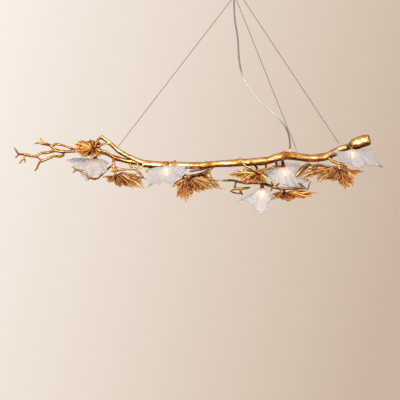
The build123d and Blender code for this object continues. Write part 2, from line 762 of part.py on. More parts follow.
spur_twig_shape = limb((
    (128.6, 161.4, 2, 4.6),
    (131.0, 165.4, -2, 4.4),
    (135.4, 168.9, -5, 4.6),
    (139.5, 173.0, -8, 4.6),
    (143.4, 176.9, -10, 2.5),
))
forked_twig_shape = joined(
    limb((
        (114.2, 166.2, -9, 3.0),
        (117.5, 168.4, -8, 3.3),
        (120.6, 169.6, -8, 4.1),
        (127.0, 169.2, -6, 3.6),
        (135.4, 168.8, -5, 4.1),
    )),
    limb(((115.0, 171.4, -16, 2.8), (118.0, 170.8, -11, 3.0), (121.0, 169.6, -8, 3.3))),
)
with BuildPart() as forked_twig:
    add(carved(joined(forked_twig_shape, spur_twig_shape), leaf_2_stalk, bare_branch, left_limb_shape))
forked_twig.part.label = "forked_twig"
export_step(forked_twig.part, "parts/forked_twig.step")

hook_twig_shape = limb((
    (111.0, 144.2, -2, 4.1),
    (105.0, 143.2, -8, 3.3),
    (101.0, 145.4, -13, 3.0),
    (97.4, 146.6, -17, 2.2),
))
with BuildPart() as short_spurs:
    for stations in (
        ((137.5, 162.5, -4, 3.3), (138.4, 167.2, -13, 3.3),
         (141.0, 168.0, -14, 3.0), (143.6, 164.5, -8, 3.3)),
        ((146.8, 164.0, -4, 4.4), (146.8, 172.4, -6, 3.0)),
        ((240.5, 163.0, 2, 5.5), (239.8, 158.6, -4, 4.4), (239.6, 157.9, -5, 3.6)),
        ((284.0, 155.8, -2, 4.8), (283.6, 151.2, -5, 4.4)),
        ((317.8, 158.0, 4, 4.6), (317.8, 162.8, 2, 3.6)),
        ((250.0, 161.5, 0, 4.4), (250.8, 161.6, -15, 4.1)),
        ((176.0, 164.8, 2, 4.4), (174.5, 160.6, 6, 3.6)),
        ((205.0, 164.6, 4, 4.4), (206.4, 160.8, 0, 3.3)),
    ):
        add(carved(limb(stations), bare_branch, left_limb_shape))
    add(carved(hook_twig_shape, bare_branch))
short_spurs.part.label = "short_spurs"
export_step(short_spurs.part, "parts/short_spurs.step")

triple_twig_shape = joined(
    limb((
        (214.0, 164.4, 0, 4.6), (205.0, 166.6, -14, 4.1),
        (198.0, 167.2, -20, 3.6), (190.4, 168.4, -26, 2.5),
    )),
    limb((
        (214.5, 165.0, 2, 4.6), (205.0, 168.6, -9, 3.9),
        (197.0, 170.0, -15, 3.9), (190.0, 171.5, -21, 2.5),
    )),
    limb((
        (215.0, 165.2, 4, 4.6),
        (209.6, 169.6, 0, 4.4),
        (204.0, 172.8, -8, 4.1),
        (199.0, 174.8, -18, 4.6),
        (192.5, 175.8, -29, 4.4),
        (188.6, 176.4, -36, 4.6),
        (188.9, 179.1, -40, 4.1),
    )),
    limb((
        (188.8, 176.4, -36, 3.0), (185.4, 174.6, -35, 3.0),
        (183.0, 177.0, -33, 2.8), (183.0, 180.5, -30, 2.0),
    )),
)
with BuildPart() as triple_twig:
    add(carved(triple_twig_shape, bare_branch))
triple_twig.part.label = "triple_twig"
export_step(triple_twig.part, "parts/triple_twig.step")

leaf_4_twig_shape = joined(
    limb((
        (241.6, 162.6, -4, 4.6),
        (246.2, 166.4, -12, 4.1),
        (251.5, 168.4, -16, 3.9),
        (256.0, 171.2, -19, 3.9),
        (259.0, 172.8, -20, 4.4),
        (263.1, 174.3, -22, 3.0),
        (266.4, 175.1, -24, 2.0),
    )),
    limb(((246.4, 166.2, -12, 3.0), (243.2, 170.7, -18, 2.0))),
    limb((
        (256.4, 171.4, -19, 3.0), (258.8, 169.8, -21, 3.6),
        (263.0, 170.4, -23, 3.9), (267.2, 172.0, -25, 2.5),
    )),
)
with BuildPart() as leaf_4_twig:
    add(carved(leaf_4_twig_shape, bare_branch))
leaf_4_twig.part.label = "leaf_4_twig"
export_step(leaf_4_twig.part, "parts/leaf_4_twig.step")

ladder_twig_shape = joined(
    limb((
        (265.6, 161.0, 4, 4.4), (266.0, 165.0, 10, 3.9),
        (266.6, 169.2, 12, 4.1), (266.8, 171.4, 12, 2.2),
    )),
    limb((
        (260.6, 169.6, 8, 2.2),
        (266.6, 169.2, 12, 3.6),
        (270.4, 168.4, 16, 3.6),
        (274.7, 166.3, 22, 3.9),
        (279.0, 166.0, 27, 3.6),
        (283.4, 166.4, 30, 2.2),
    )),
    limb(((276.0, 158.8, 6, 4.4), (276.5, 163.0, 20, 3.9), (276.8, 166.2, 25, 3.9))),
)
with BuildPart() as ladder_twig:
    add(carved(ladder_twig_shape, bare_branch))
ladder_twig.part.label = "ladder_twig"
export_step(ladder_twig.part, "parts/ladder_twig.step")

lower_limb_shape = joined(
    limb((
        (222.4, 180.5, 0, 2.0),
        (228.0, 180.4, 4, 3.2),
        (233.0, 180.4, 8, 3.6),
        (238.5, 181.6, 10, 4.0),
        (246.0, 183.0, 8, 4.4),
        (254.0, 183.0, 0, 4.8),
        (262.0, 182.8, -6, 5.4),
        (268.0, 185.2, -22, 5.0),
        (273.5, 187.2, -36, 5.4),
        (280.0, 189.0, -44, 4.8),
        (288.0, 188.4, -46, 4.6),
        (297.0, 188.4, -44, 4.2),
        (304.5, 187.8, -40, 3.4),
    )),
    limb((
        (252.0, 161.8, 4, 4.4), (257.2, 167.6, 36, 3.8),
        (257.0, 176.0, 32, 3.8), (255.0, 182.8, 2, 4.2),
    )),
    limb(((273.5, 187.0, -36, 3.2), (272.2, 184.6, -40, 3.0), (271.0, 181.9, -44, 2.0))),
    limb(((274.6, 187.2, -38, 3.0), (276.6, 185.4, -42, 2.8), (278.8, 183.0, -48, 2.0))),
    limb(((272.8, 187.2, -35, 3.0), (270.4, 191.0, -44, 2.0))),
    limb(((284.0, 188.6, -45, 3.0), (279.6, 191.0, -54, 2.2))),
    limb(((304.0, 187.8, -40, 3.0), (301.0, 185.2, -43, 2.8), (298.2, 183.2, -46, 2.0))),
    limb(((303.6, 187.9, -40, 2.8), (307.4, 189.4, -42, 2.8), (309.0, 182.9, -46, 2.0))),
)
with BuildPart() as lower_limb:
    add(carved(lower_limb_shape, bare_branch))
lower_limb.part.label = "lower_limb"
export_step(lower_limb.part, "parts/lower_limb.step")

net_twig_shape = joined(
    limb(((236.6, 181.0, 9, 3.3), (234.9, 185.2, 9, 3.0), (234.9, 189.0, 6, 3.3), (230.3, 191.2, 8, 2.0))),
    limb(((234.9, 188.9, 6, 3.0), (240.7, 188.6, 3, 3.3), (246.0, 188.2, 4, 2.8), (250.2, 187.4, 6, 2.0))),
    limb(((240.6, 188.3, 3, 3.0), (240.6, 192.7, 4, 3.0), (242.8, 194.4, 6, 2.0))),
    limb(((240.8, 193.0, 2, 2.8), (237.0, 193.4, 4, 2.5), (231.6, 191.9, 9, 2.0))),
)
with BuildPart() as net_twig:
    add(carved(net_twig_shape, lower_limb_shape))
net_twig.part.label = "net_twig"
export_step(net_twig.part, "parts/net_twig.step")

leaf_6_twig_shape = limb((
    (327.0, 155.8, 2, 4.6),
    (331.6, 160.6, -8, 4.8),
    (337.6, 163.4, -14, 5.1),
    (341.6, 163.8, -17, 4.6),
    (346.5, 167.0, -22, 2.5),
))
with BuildPart() as leaf_6_twig:
    add(carved(leaf_6_twig_shape, bare_branch))
leaf_6_twig.part.label = "leaf_6_twig"
export_step(leaf_6_twig.part, "parts/leaf_6_twig.step")

# Gold leaves: place, direction faced, lobe tips from the place, and the stalk that carries each
rolled_lobe = limb((
    (312.4, 166.0, 46, 3.4),
    (308.6, 164.8, 36, 7.6),
    (303.2, 168.8, 20, 9.4),
    (298.4, 173.8, 6, 8.4),
    (296.2, 176.6, 0, 4.0),
))
LEAVES = (
    (
        (94.4, 147.8, -20), (0.10, -0.55, 0.83),
        (
            (-22.0, -4.5, 5), (-15.0, -8.0, 38), (-5.0, -9.0, 48), (3.5, -8.3, 42), (7.5, 4.0, -16),
            (6.0, 9.5, -48), (-3.0, 10.5, -52), (-13.0, 11.0, -58), (-21.0, 5.0, -40),
        ),
        limb((
            (101.6, 137.4, -2, 4.6), (98.2, 139.6, -8, 3.8),
            (96.4, 143.0, -15, 3.4), (94.4, 147.7, -20, 3.2),
        )),
        (bare_branch, hook_twig_shape, left_limb_shape),
    ),
    (
        (116.0, 175.0, -25), (-0.20, -0.10, 0.97),
        (
            (30.0, 14.0, -70), (31.5, 5.1, 31), (20.8, 0.5, 85), (-13.6, 2.3, -39), (-4.0, 8.5, -85),
            (6.7, 13.8, -112), (19.0, 14.8, -100),
        ),
        leaf_2_stalk,
        (left_limb_shape, bare_branch),
    ),
    (
        (189.0, 179.2, -40), (-0.15, -0.25, 0.95),
        (
            (36.5, 10.2, -10), (24.0, 12.0, -105), (11.0, 15.0, -125), (-2.7, 24.0, -124), (-18.2, 7.5, -20),
            (23.0, -7.5, 93), (33.0, 3.0, 50),
        ),
        limb(((188.9, 178.6, -39.6, 3.4), (189.0, 179.3, -40, 3.4))),
        (triple_twig_shape,),
    ),
    (
        (258.5, 174.2, -20), (0.10, -0.40, 0.90),
        (
            (-33.2, 0.7, 0), (-24.0, -3.4, 38), (-13.0, -4.8, 62), (6.0, -3.0, 50), (8.7, 4.0, -20),
            (8.0, 10.4, -62), (-7.0, 11.0, -80), (-20.0, 7.6, -58),
        ),
        limb(((258.8, 172.9, -20, 3.2), (258.5, 174.3, -20, 3.2))),
        (leaf_4_twig_shape,),
    ),
    (
        (284.0, 193.0, -36), (-0.05, -0.25, 0.96),
        (
            (34.0, 0.8, -15), (27.0, 4.0, -65), (24.0, -2.5, 30), (14.0, 0.8, 75), (2.0, 0.8, 70),
            (-10.5, 0.4, 60), (-10.0, 4.6, -50), (5.3, 9.3, -90), (17.0, 6.0, -85),
        ),
        limb(((283.4, 188.8, -45, 3.8), (283.7, 191.0, -40, 3.4), (284.0, 193.1, -36, 3.2))),
        (lower_limb_shape,),
    ),
    (
        (339.3, 169.3, -20), (0.15, -0.25, 0.95),
        (
            (23.9, 3.2, -15), (3.3, 21.8, -112), (-9.0, 14.5, -125), (-25.0, 14.0, -115), (-42.6, 8.9, -10),
            (-33.0, -5.0, 80),
        ),
        joined(
            limb(((339.0, 163.6, -15, 4.2), (339.0, 166.5, -18, 3.8), (339.3, 169.4, -20, 3.4))), rolled_lobe
        ),
        (leaf_6_twig_shape,),
    ),
)


def lobes(tips):
    """Lobe tips as vectors, from picture offsets and depths."""
    return [Vector(column * PIXEL, depth, -row * PIXEL) for column, row, depth in tips]


for number, (place, facing, tips, stalk, carriers) in enumerate(LEAVES, start=1):
    plane = Plane(origin=spot(*place), x_dir=(1, 0, 0), z_dir=facing)
    sheet = blade(plane, lobes(tips), LEAF_LOBE, LEAF_NOTCH, LEAF_SEAT, LEAF_THICKNESS, LEAF_CREASE, LEAF_BOW)
    with BuildPart() as leaf:
        add(carved(joined(sheet, stalk), *carriers))
    leaf.part.label = f"leaf_{number}"
    export_step(leaf.part, f"parts/leaf_{number}.step")

# Lights: place of the glass seat, lamp axis, lobe tips, and the arm from its carrier to the boss
LIGHTS = (
    (
        (95.0, 158.6, 10), (0.08, -0.25, 0.96),
        (
            (-29.0, 1.4, 5), (-9.0, 22.4, -45), (1.5, 18.0, -58), (9.5, 15.6, -44), (14.0, 4.0, 25),
            (-8.0, 6.0, 60),
        ),
        ((97.0, 151.5, 8, 4.8), (96.2, 153.2, 8, 4.6)), left_limb_shape,
    ),
    (
        (166.5, 166.6, -38), (-0.05, 0.25, 0.96),
        (
            (-19.5, 20.9, -15), (-8.0, 18.0, -52), (5.0, 18.0, -66), (15.0, 11.0, -45), (23.5, 0.4, -5),
            (6.0, 5.0, 48), (-19.5, 2.4, 22),
        ),
        ((168.0, 164.7, -2, 5.0), (167.2, 163.4, -22, 4.8)), bare_branch,
    ),
    (
        (262.0, 188.2, -10), (0.0, -0.12, 0.99),
        ((-1.5, 26.8, -40), (13.3, 11.6, -15), (10.0, 12.0, 50), (-12.0, 12.0, 50), (-25.6, 13.8, -12)),
        ((262.0, 182.8, -6, 4.4), (262.0, 184.4, -10.4, 5.0)), lower_limb_shape,
    ),
    (
        (284.0, 166.8, 45), (-0.12, -0.20, 0.97),
        (
            (-3.0, 21.0, -58), (12.0, 23.4, -45), (29.0, 15.0, 0), (16.0, -4.5, 50), (-4.0, -6.0, 55),
            (-16.0, 2.0, 40), (-20.5, 10.2, -30),
        ),
        ((281.0, 157.4, 0, 5.0), (282.6, 160.6, 26, 4.6)), bare_branch,
    ),
    (
        (351.0, 150.4, -40), (-0.12, 0.20, 0.97),
        (
            (7.0, 19.4, -75), (17.0, 16.8, -50), (34.0, 18.1, -10), (20.0, -1.5, 45), (-8.0, 6.0, 45),
            (-21.0, 2.9, -45), (-8.0, 14.5, -65),
        ),
        ((346.4, 147.4, 0, 5.0), (348.4, 146.4, -16, 6.0), (350.0, 145.6, -28, 7.2)), bare_branch,
    ),
)
gasket_bottom = -GLASS_THICKNESS - GASKET_THICKNESS
shell_bottom = gasket_bottom - SHELL_LENGTH
plate_bottom = gasket_bottom - SHELL_PLATE
shell_bore = SHELL_RADIUS - SHELL_WALL
holder_radius = shell_bore - HOLE_GAP
holder_bottom = plate_bottom - HOLDER_LENGTH
bulb_top = holder_bottom - SLIDE_GAP
boss_top = CAP_HEIGHT + BOSS_HEIGHT
arms = []
cap_washer_rings = []
gasket_rings = []
shell_cups = []
holder_blocks = []
for number, (place, facing, tips, arm, carrier) in enumerate(LIGHTS, start=1):
    seat = spot(*place)
    axis = Vector(*facing).normalized()
    plane = Plane(origin=seat, x_dir=(1, 0, 0), z_dir=axis)
    with BuildPart() as shade:
        sheet = blade(
            plane, lobes(tips), GLASS_LOBE, GLASS_NOTCH, GLASS_SEAT, GLASS_THICKNESS, GLASS_CREASE, GLASS_BOW
        )
        add(sheet)
        add(rod(seat, axis, NIPPLE_RADIUS + 2 * HOLE_GAP, -2 * GLASS_THICKNESS, 1), mode=Mode.SUBTRACT)
    shade.part.label = f"glass_shade_{number}"
    export_step(shade.part, f"parts/glass_shade_{number}.step")

    boss_end = seat + axis * (boss_top - BOSS_HEIGHT / 2)
    last = (
        boss_end.X / PIXEL + HANG_COLUMN,
        -(boss_end.Z + PHOTO_TOP) / PIXEL,
        boss_end.Y - SETBACK,
        arm[-1][3],
    )
    arm_shape = joined(limb(arm + (last,)), rod(seat, axis, BOSS_RADIUS, CAP_HEIGHT, boss_top))
    under_boss = rod(seat, axis, 2 * CAP_RADIUS, 0, CAP_HEIGHT)
    nipple_hole = rod(seat, axis, NIPPLE_RADIUS, 0, NIPPLE_REACH)
    arms.append(carved(arm_shape, carrier, butt_end.part, under_boss, nipple_hole))

    bore = NIPPLE_RADIUS + HOLE_GAP
    cap_washer_rings.append(
        turned(
            seat, axis,
            ((bore, 0), (CAP_RADIUS, 0), (CAP_RADIUS * 0.9, CAP_HEIGHT * 0.5),
             (CAP_RADIUS * 0.72, CAP_HEIGHT), (bore, CAP_HEIGHT)),
        )
    )
    gasket_rings.append(
        turned(
            seat, axis,
            ((bore, -GLASS_THICKNESS), (GASKET_RADIUS, -GLASS_THICKNESS), (GASKET_RADIUS, gasket_bottom),
             (bore, gasket_bottom)),
        )
    )
    shell_cups.append(
        turned(
            seat, axis,
            ((0, NIPPLE_REACH), (NIPPLE_RADIUS, NIPPLE_REACH), (NIPPLE_RADIUS, gasket_bottom),
             (SHELL_RADIUS, gasket_bottom), (SHELL_RADIUS, shell_bottom), (shell_bore, shell_bottom),
             (shell_bore, plate_bottom), (0, plate_bottom)),
        )
    )
    pin_side = plane.x_dir * (PIN_SPREAD / 2)
    block = rod(seat, axis, holder_radius, holder_bottom, plate_bottom)
    for pin_seat in (seat + pin_side, seat - pin_side):
        hole_top = holder_bottom + LAMP_PIN_LENGTH + HOLE_GAP
        block = carved(block, rod(pin_seat, axis, LAMP_PIN_RADIUS + HOLE_GAP, holder_bottom - 1, hole_top))
    holder_blocks.append(block)

    neck = bulb_top - BULB_BASE_LENGTH
    tip = bulb_top - BULB_LENGTH
    with BuildPart() as bulb:
        with BuildSketch(profile_plane(seat, axis)):
            with BuildLine():
                Polyline(
                    (0, bulb_top),
                    (BULB_BASE_RADIUS, bulb_top),
                    (BULB_BASE_RADIUS, neck),
                    (BULB_RADIUS, neck - 2),
                    (BULB_RADIUS, tip + BULB_RADIUS),
                )
                ThreePointArc(
                    (BULB_RADIUS, tip + BULB_RADIUS),
                    (BULB_RADIUS * math.sqrt(0.5), tip + BULB_RADIUS * (1 - math.sqrt(0.5))),
                    (0, tip),
                )
                Line((0, tip), (0, bulb_top))
            make_face()
        revolve(axis=Axis(seat, axis))
        for pin_seat in (seat + pin_side, seat - pin_side):
            add(rod(pin_seat, axis, LAMP_PIN_RADIUS, bulb_top, bulb_top + LAMP_PIN_LENGTH))
    bulb.part.label = f"bulb_{number}"
    export_step(bulb.part, f"parts/bulb_{number}.step")
    print(f"light {number}: seat {seat} axis {axis}")

for name, solids in (
    ("lamp_arms", arms),
    ("cap_washers", cap_washer_rings),
    ("glass_gaskets", gasket_rings),
    ("holder_shells", shell_cups),
    ("lamp_holders", holder_blocks),
):
    with BuildPart() as group:
        for solid in solids:
            add(solid)
    group.part.label = name
    export_step(group.part, f"parts/{name}.step")

# Power cord: out of the hub's grip, round in an easy curve and into the gland on the branch's hump
gland_top = gland_foot + gland_up * GLAND_TOP
with BuildPart() as cord_gland:
    add(
        turned(
            gland_foot, gland_up,
            ((0, GLAND_DEPTH), (GLAND_RADIUS, GLAND_DEPTH),
             (GLAND_RADIUS, GLAND_TOP - GLAND_RING_HEIGHT),
             (GLAND_RING_RADIUS, GLAND_TOP - GLAND_RING_HEIGHT),
             (GLAND_RING_RADIUS, GLAND_TOP), (0, GLAND_TOP)),
        )
    )
cord_gland.part.label = "cord_gland"
export_step(cord_gland.part, "parts/cord_gland.step")

with BuildPart() as cord_grip:
    with BuildSketch(Plane.XY.offset(hub_bottom)):
        with Locations((CORD_EXIT_X, CORD_EXIT_Y)):
            Circle(CORD_GRIP_RADIUS)
    extrude(amount=-CORD_GRIP_HEIGHT, taper=6)
cord_grip.part.label = "cord_grip"
export_step(cord_grip.part, "parts/cord_grip.step")

cord_start = Vector(CORD_EXIT_X, CORD_EXIT_Y, hub_bottom - CORD_GRIP_HEIGHT)
CORD_POINTS = (
    (234.0, 18.0, CORD_EXIT_Y - SETBACK),
    (238.2, 38.0, -5.0),
    (238.6, 60.0, -6.0),
    (243.2, 80.0, -9.0),
    (256.0, 98.5, -11.0),
    (270.5, 110.5, -11.0),
    (282.8, 122.5, -6.0),
    (290.0, 135.0, -1.0),
)
cord_points = [cord_start] + [spot(*point) for point in CORD_POINTS] + [gland_top]
cord_radii = []
for index in range(1, len(cord_points) - 1):
    before = cord_points[index] - cord_points[index - 1]
    after = cord_points[index + 1] - cord_points[index]
    half_turn = math.radians(before.get_angle(after)) / 2
    cord_radii.append(0.45 * min(before.length, after.length) / math.tan(half_turn))
with BuildPart() as power_cord:
    with BuildLine() as route:
        FilletPolyline(*cord_points, radius=cord_radii)
    with BuildSketch(Plane(origin=route.line @ 0, z_dir=route.line % 0)):
        Circle(CORD_RADIUS)
    sweep()
power_cord.part.label = "power_cord"
export_step(power_cord.part, "parts/power_cord.step")
print("cord radii", [round(radius) for radius in cord_radii])
cord_length = sum(edge.length for edge in route.edges())
expected = math.pi * CORD_RADIUS**2 * cord_length
print("cord length", round(cord_length, 1), "tube over section", power_cord.part.volume / expected)
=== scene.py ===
import json
import math
from collections import namedtuple

import bmesh
import bpy
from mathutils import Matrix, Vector, noise


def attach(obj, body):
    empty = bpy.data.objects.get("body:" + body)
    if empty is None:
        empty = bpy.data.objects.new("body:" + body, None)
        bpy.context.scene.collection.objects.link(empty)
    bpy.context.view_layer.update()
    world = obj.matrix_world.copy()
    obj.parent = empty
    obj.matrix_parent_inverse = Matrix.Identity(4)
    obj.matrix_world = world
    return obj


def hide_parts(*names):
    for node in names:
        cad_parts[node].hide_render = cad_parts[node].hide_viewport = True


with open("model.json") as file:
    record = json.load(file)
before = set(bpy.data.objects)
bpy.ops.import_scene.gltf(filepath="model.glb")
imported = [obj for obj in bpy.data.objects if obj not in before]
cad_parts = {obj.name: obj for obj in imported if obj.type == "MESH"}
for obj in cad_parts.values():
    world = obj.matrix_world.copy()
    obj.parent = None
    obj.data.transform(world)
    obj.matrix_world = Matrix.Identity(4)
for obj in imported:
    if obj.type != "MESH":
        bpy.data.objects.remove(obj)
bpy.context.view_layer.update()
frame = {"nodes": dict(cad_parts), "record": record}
nodes = frame["nodes"]
scene = bpy.context.scene

# Placing from the photograph: a column and a row name a point of the picture, a depth is in metres.
PIXEL = 0.004  # size of one picture element at the branch
HANG_COLUMN = 236.9  # picture column below which the light hangs
PHOTO_TOP = 0.104  # distance of the picture's top edge below the ceiling
SETBACK = 0.0110  # shift of the whole branch that brings its weight below the tilt pins


def spot(column, row, depth=0.0):
    """Place of a picture point at the given depth."""
    return Vector(((column - HANG_COLUMN) * PIXEL, depth + SETBACK, -PHOTO_TOP - row * PIXEL))


def offsets(*tips):
    """Lobe tips as vectors, from picture offsets and depths."""
    return [Vector((column * PIXEL, depth, -row * PIXEL)) for column, row, depth in tips]


def lerp(a, b, t):
    """Value a share t of the way from a to b."""
    return a + (b - a) * t


def around(items):
    """Each item of a closed ring with the next one."""
    return zip(items, items[1:] + items[:1])


def linked(obj):
    """The object, put into the scene."""
    scene.collection.objects.link(obj)
    return obj


def mesh_object(name, bm):
    """New object from a finished bmesh."""
    mesh = bpy.data.meshes.new(name)
    bm.to_mesh(mesh)
    bm.free()
    return linked(bpy.data.objects.new(name, mesh))


def stand_in(obj, slot, *covered):
    """Show the object on the pendant in place of the covered nodes."""
    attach(obj, "pendant")
    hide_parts(*covered)


class Graph:
    """Node tree of a material or a world, with short calls for the nodes used here."""

    def __init__(self, owner):
        owner.use_nodes = True
        self.tree = owner.node_tree

    def node(self, kind, **values):
        """New node with the given settings."""
        made = self.tree.nodes.new(kind)
        for name, value in values.items():
            setattr(made, name, value)
        return made

    def feed(self, socket, value):
        """Link a socket to another one, or give it a fixed value."""
        if isinstance(value, bpy.types.NodeSocket):
            self.tree.links.new(value, socket)
        else:
            socket.default_value = value

    def axes(self, vector):
        """Numbers of a vector, under the names X, Y and Z."""
        made = self.node("ShaderNodeSeparateXYZ")
        self.feed(made.inputs[0], vector)
        return made.outputs

    def band(self, value, low, high, start=0.0, end=1.0):
        """Value that runs from start to end as the input runs from low to high."""
        made = self.node("ShaderNodeMapRange")
        self.feed(made.inputs["Value"], value)
        for socket, number in zip(("From Min", "From Max", "To Min", "To Max"), (low, high, start, end)):
            made.inputs[socket].default_value = number
        return made.outputs["Result"]

    def combine(self, kind, a, b):
        """Result of one math step on two values."""
        made = self.node("ShaderNodeMath", operation=kind)
        self.feed(made.inputs[0], a)
        self.feed(made.inputs[1], b)
        return made.outputs[0]

    def weighted(self, *terms):
        """Sum of values, each times its share."""
        parts = [self.combine("MULTIPLY", value, share) for value, share in terms]
        total = parts[0]
        for part in parts[1:]:
            total = self.combine("ADD", total, part)
        return total

    def ramp(self, value, *stops):
        """Colour that runs through stops of position and colour."""
        made = self.node("ShaderNodeValToRGB")
        self.feed(made.inputs["Fac"], value)
        elements = made.color_ramp.elements
        while len(elements) < len(stops):
            elements.new(0.5)
        for element, (position, colour) in zip(elements, stops):
            element.position = position
            element.color = (*colour, 1.0)
        return made.outputs["Color"]


class Paint(Graph):
    """Graph of one new material around its principled shader."""

    def __init__(self, name):
        self.material = bpy.data.materials.new(name)
        super().__init__(self.material)
        self.shader = self.tree.nodes["Principled BSDF"]
        self.place = self.node("ShaderNodeTexCoord").outputs["Object"]

    def set(self, **values):
        """Feed the shader's inputs, named with underscores for spaces."""
        for name, value in values.items():
            self.feed(self.shader.inputs[name.replace("_", " ")], value)

    def scaled(self, x, y, z):
        """Place on the object, scaled along each axis."""
        made = self.node("ShaderNodeMapping")
        self.feed(made.inputs["Vector"], self.place)
        made.inputs["Scale"].default_value = (x, y, z)
        return made.outputs["Vector"]

    def noise(self, scale, detail=3.0, place=None):
        """Cloudy pattern."""
        made = self.node("ShaderNodeTexNoise")
        self.feed(made.inputs["Vector"], place or self.place)
        made.inputs["Scale"].default_value = scale
        made.inputs["Detail"].default_value = detail
        return made.outputs["Fac"]

    def cells(self, scale):
        """Pattern of rounded cells."""
        made = self.node("ShaderNodeTexVoronoi", feature="SMOOTH_F1")
        self.feed(made.inputs["Vector"], self.place)
        made.inputs["Scale"].default_value = scale
        return made.outputs["Distance"]

    def twist(self, scale):
        """Slanting bands of twisted strands."""
        made = self.node("ShaderNodeTexWave", bands_direction="DIAGONAL")
        self.feed(made.inputs["Vector"], self.place)
        made.inputs["Scale"].default_value = scale
        return made.outputs["Fac"]

    def attribute(self, name):
        """Value that the mesh keeps on its points."""
        return self.node("ShaderNodeAttribute", attribute_name=name).outputs["Fac"]

    def mix(self, share, a, b):
        """Colour a share of the way from a to b."""
        made = self.node("ShaderNodeMix", data_type="RGBA")
        self.feed(made.inputs["Factor"], share)
        self.feed(made.inputs[6], a)
        self.feed(made.inputs[7], b)
        return made.outputs[2]

    def bump(self, height, strength, distance, below=None):
        """Normal of a height pattern, laid over the normal below it."""
        made = self.node("ShaderNodeBump")
        made.inputs["Strength"].default_value = strength
        made.inputs["Distance"].default_value = distance
        self.feed(made.inputs["Height"], height)
        if below:
            self.feed(made.inputs["Normal"], below)
        return made.outputs["Normal"]

    def facing(self, low, high):
        """0 to 1 as faces turn from one upward share to another."""
        return self.band(self.axes(self.node("ShaderNodeNewGeometry").outputs["Normal"])["Z"], low, high)

    def crevice_shade(self, reach):
        """Share of painted shade: 0 on open faces, 1 in hollows that are narrower than the reach."""
        made = self.node("ShaderNodeAmbientOcclusion", samples=6)
        made.inputs["Distance"].default_value = reach
        return self.band(made.outputs["AO"], 0.85, 0.25)


# Materials
# Painted shade colours for the branch's underside and hollows and for the leaves' hollows
UNDERSIDE_SHADE_BROWN = (0.12, 0.019, 0.003, 1)
HOLLOW_SHADE_BROWN = (0.09, 0.022, 0.004, 1)
LEAF_HOLLOW_SHADE = (0.10, 0.026, 0.006, 1)
LEAF_SHADE = 0.012
PAINTED_GLOW_AMBER = (1.0, 0.54, 0.22, 1)
BULB_CLEAR = (1.0, 0.9, 0.75, 1)
RING_BROWN = (0.30, 0.16, 0.05, 1)
BULB_LIGHT = 4.6
DIM_BULB_LIGHT = 2.0
GRAIN_SWING = 0.08
SPECK_SWING = 0.06

# Golds of the skins: dark, middle and light tone, and how far the shade of a hollow reaches, in metres
GOLDS = {
    "branch_gold": ((0.40, 0.12, 0.016), (0.80, 0.33, 0.055), (1.0, 0.73, 0.37), 0.012),
    # Darker copy for twigs and arms under the branch, as painted shadow
    "shaded_gold": ((0.06, 0.015, 0.003), (0.22, 0.075, 0.016), (0.62, 0.30, 0.09), 0.040),
    # Darker copy for the other twigs, as painted shade
    "twig_gold": ((0.15, 0.036, 0.005), (0.54, 0.19, 0.032), (0.95, 0.50, 0.14), 0.030),
}

# Gland and cord, in metres. The cord's pale stretch, a painted highlight, fades in and out between these
# pairs of heights.
GLAND_MOUTH = Vector((0.2124, 0.0100, -0.6949))
GLAND_RING = (-0.0056, -0.0048)
CORD_HIGHLIGHT_FROM = (-0.38, -0.43)
CORD_HIGHLIGHT_TO = (-0.62, -0.57)


def branch_gold(name):
    """Gold leaf laid by hand over a lumpy casting, with painted shade in the hollows, along the underside
    and along the top.
    """
    dark, middle, light, shade = GOLDS[name]
    g = Paint(name)
    fine = g.noise(170, detail=5)
    streak = g.noise(1, place=g.scaled(14, 130, 130))
    tone = g.weighted((g.noise(30), 0.45), (streak, 0.55))
    bright = g.ramp(tone, (0.34, dark), (0.44, middle), (0.54, light))
    # Painted shade along the top: faces that turn upward fall back to the middle tone
    painted_top_shade = g.combine("MULTIPLY", g.facing(0.45, 0.92), 0.7)
    leafed = g.mix(painted_top_shade, bright, (*middle, 1))
    # Painted shade under the branch: faces that turn downward darken towards a brown
    painted_underside_shade = g.combine("MULTIPLY", g.facing(0.0, -0.52), g.band(fine, 0.25, 0.6, start=0.6))
    underside_shaded = g.mix(painted_underside_shade, leafed, UNDERSIDE_SHADE_BROWN)
    lumps = g.bump(g.cells(46), strength=0.25, distance=0.004)
    grain = g.bump(streak, strength=0.5, distance=0.0025, below=lumps)
    g.set(
        # Painted shade in hollows narrower than the gold's shade reach
        Base_Color=g.mix(g.crevice_shade(shade), underside_shaded, HOLLOW_SHADE_BROWN),
        Metallic=1.0,
        Roughness=g.band(fine, 0.3, 0.7, start=0.20, end=0.34),
        Normal=g.bump(fine, strength=0.3, distance=0.001, below=grain),
    )
    return g.material


def leaf_gold():
    """Antique gold: painted highlight on the veins and pleat ridges, lighter towards the rims, reddish or
    tan in the painted shade between them.
    """
    g = Paint("leaf_gold")
    fine = g.noise(210, detail=5)
    rim = g.band(g.attribute("rim"), 0.8, 1.0)
    # Painted highlight on the veins and pleat ridges, with painted shade between them, and lighter towards
    # the rims
    tone = g.weighted((g.attribute("vein"), 0.6), (rim, 0.25), (g.noise(36), 0.5))
    ruddy = g.ramp(
        tone,
        (0.28, (0.15, 0.034, 0.005)),
        (0.48, (0.72, 0.235, 0.036)),
        (0.84, (1.0, 0.62, 0.22)),
    )
    tan = g.ramp(
        tone,
        (0.26, (0.28, 0.090, 0.020)),
        (0.46, (0.92, 0.43, 0.14)),
        (0.80, (1.0, 0.76, 0.40)),
    )
    leafed = g.mix(g.attribute("pale"), ruddy, tan)
    g.set(
        # Painted shade in the leaves' hollows
        Base_Color=g.mix(g.crevice_shade(LEAF_SHADE), leafed, LEAF_HOLLOW_SHADE),
        Metallic=0.95,
        Roughness=g.band(fine, 0.3, 0.7, start=0.32, end=0.50),
        Normal=g.bump(fine, strength=0.4, distance=0.0012),
    )
    return g.material


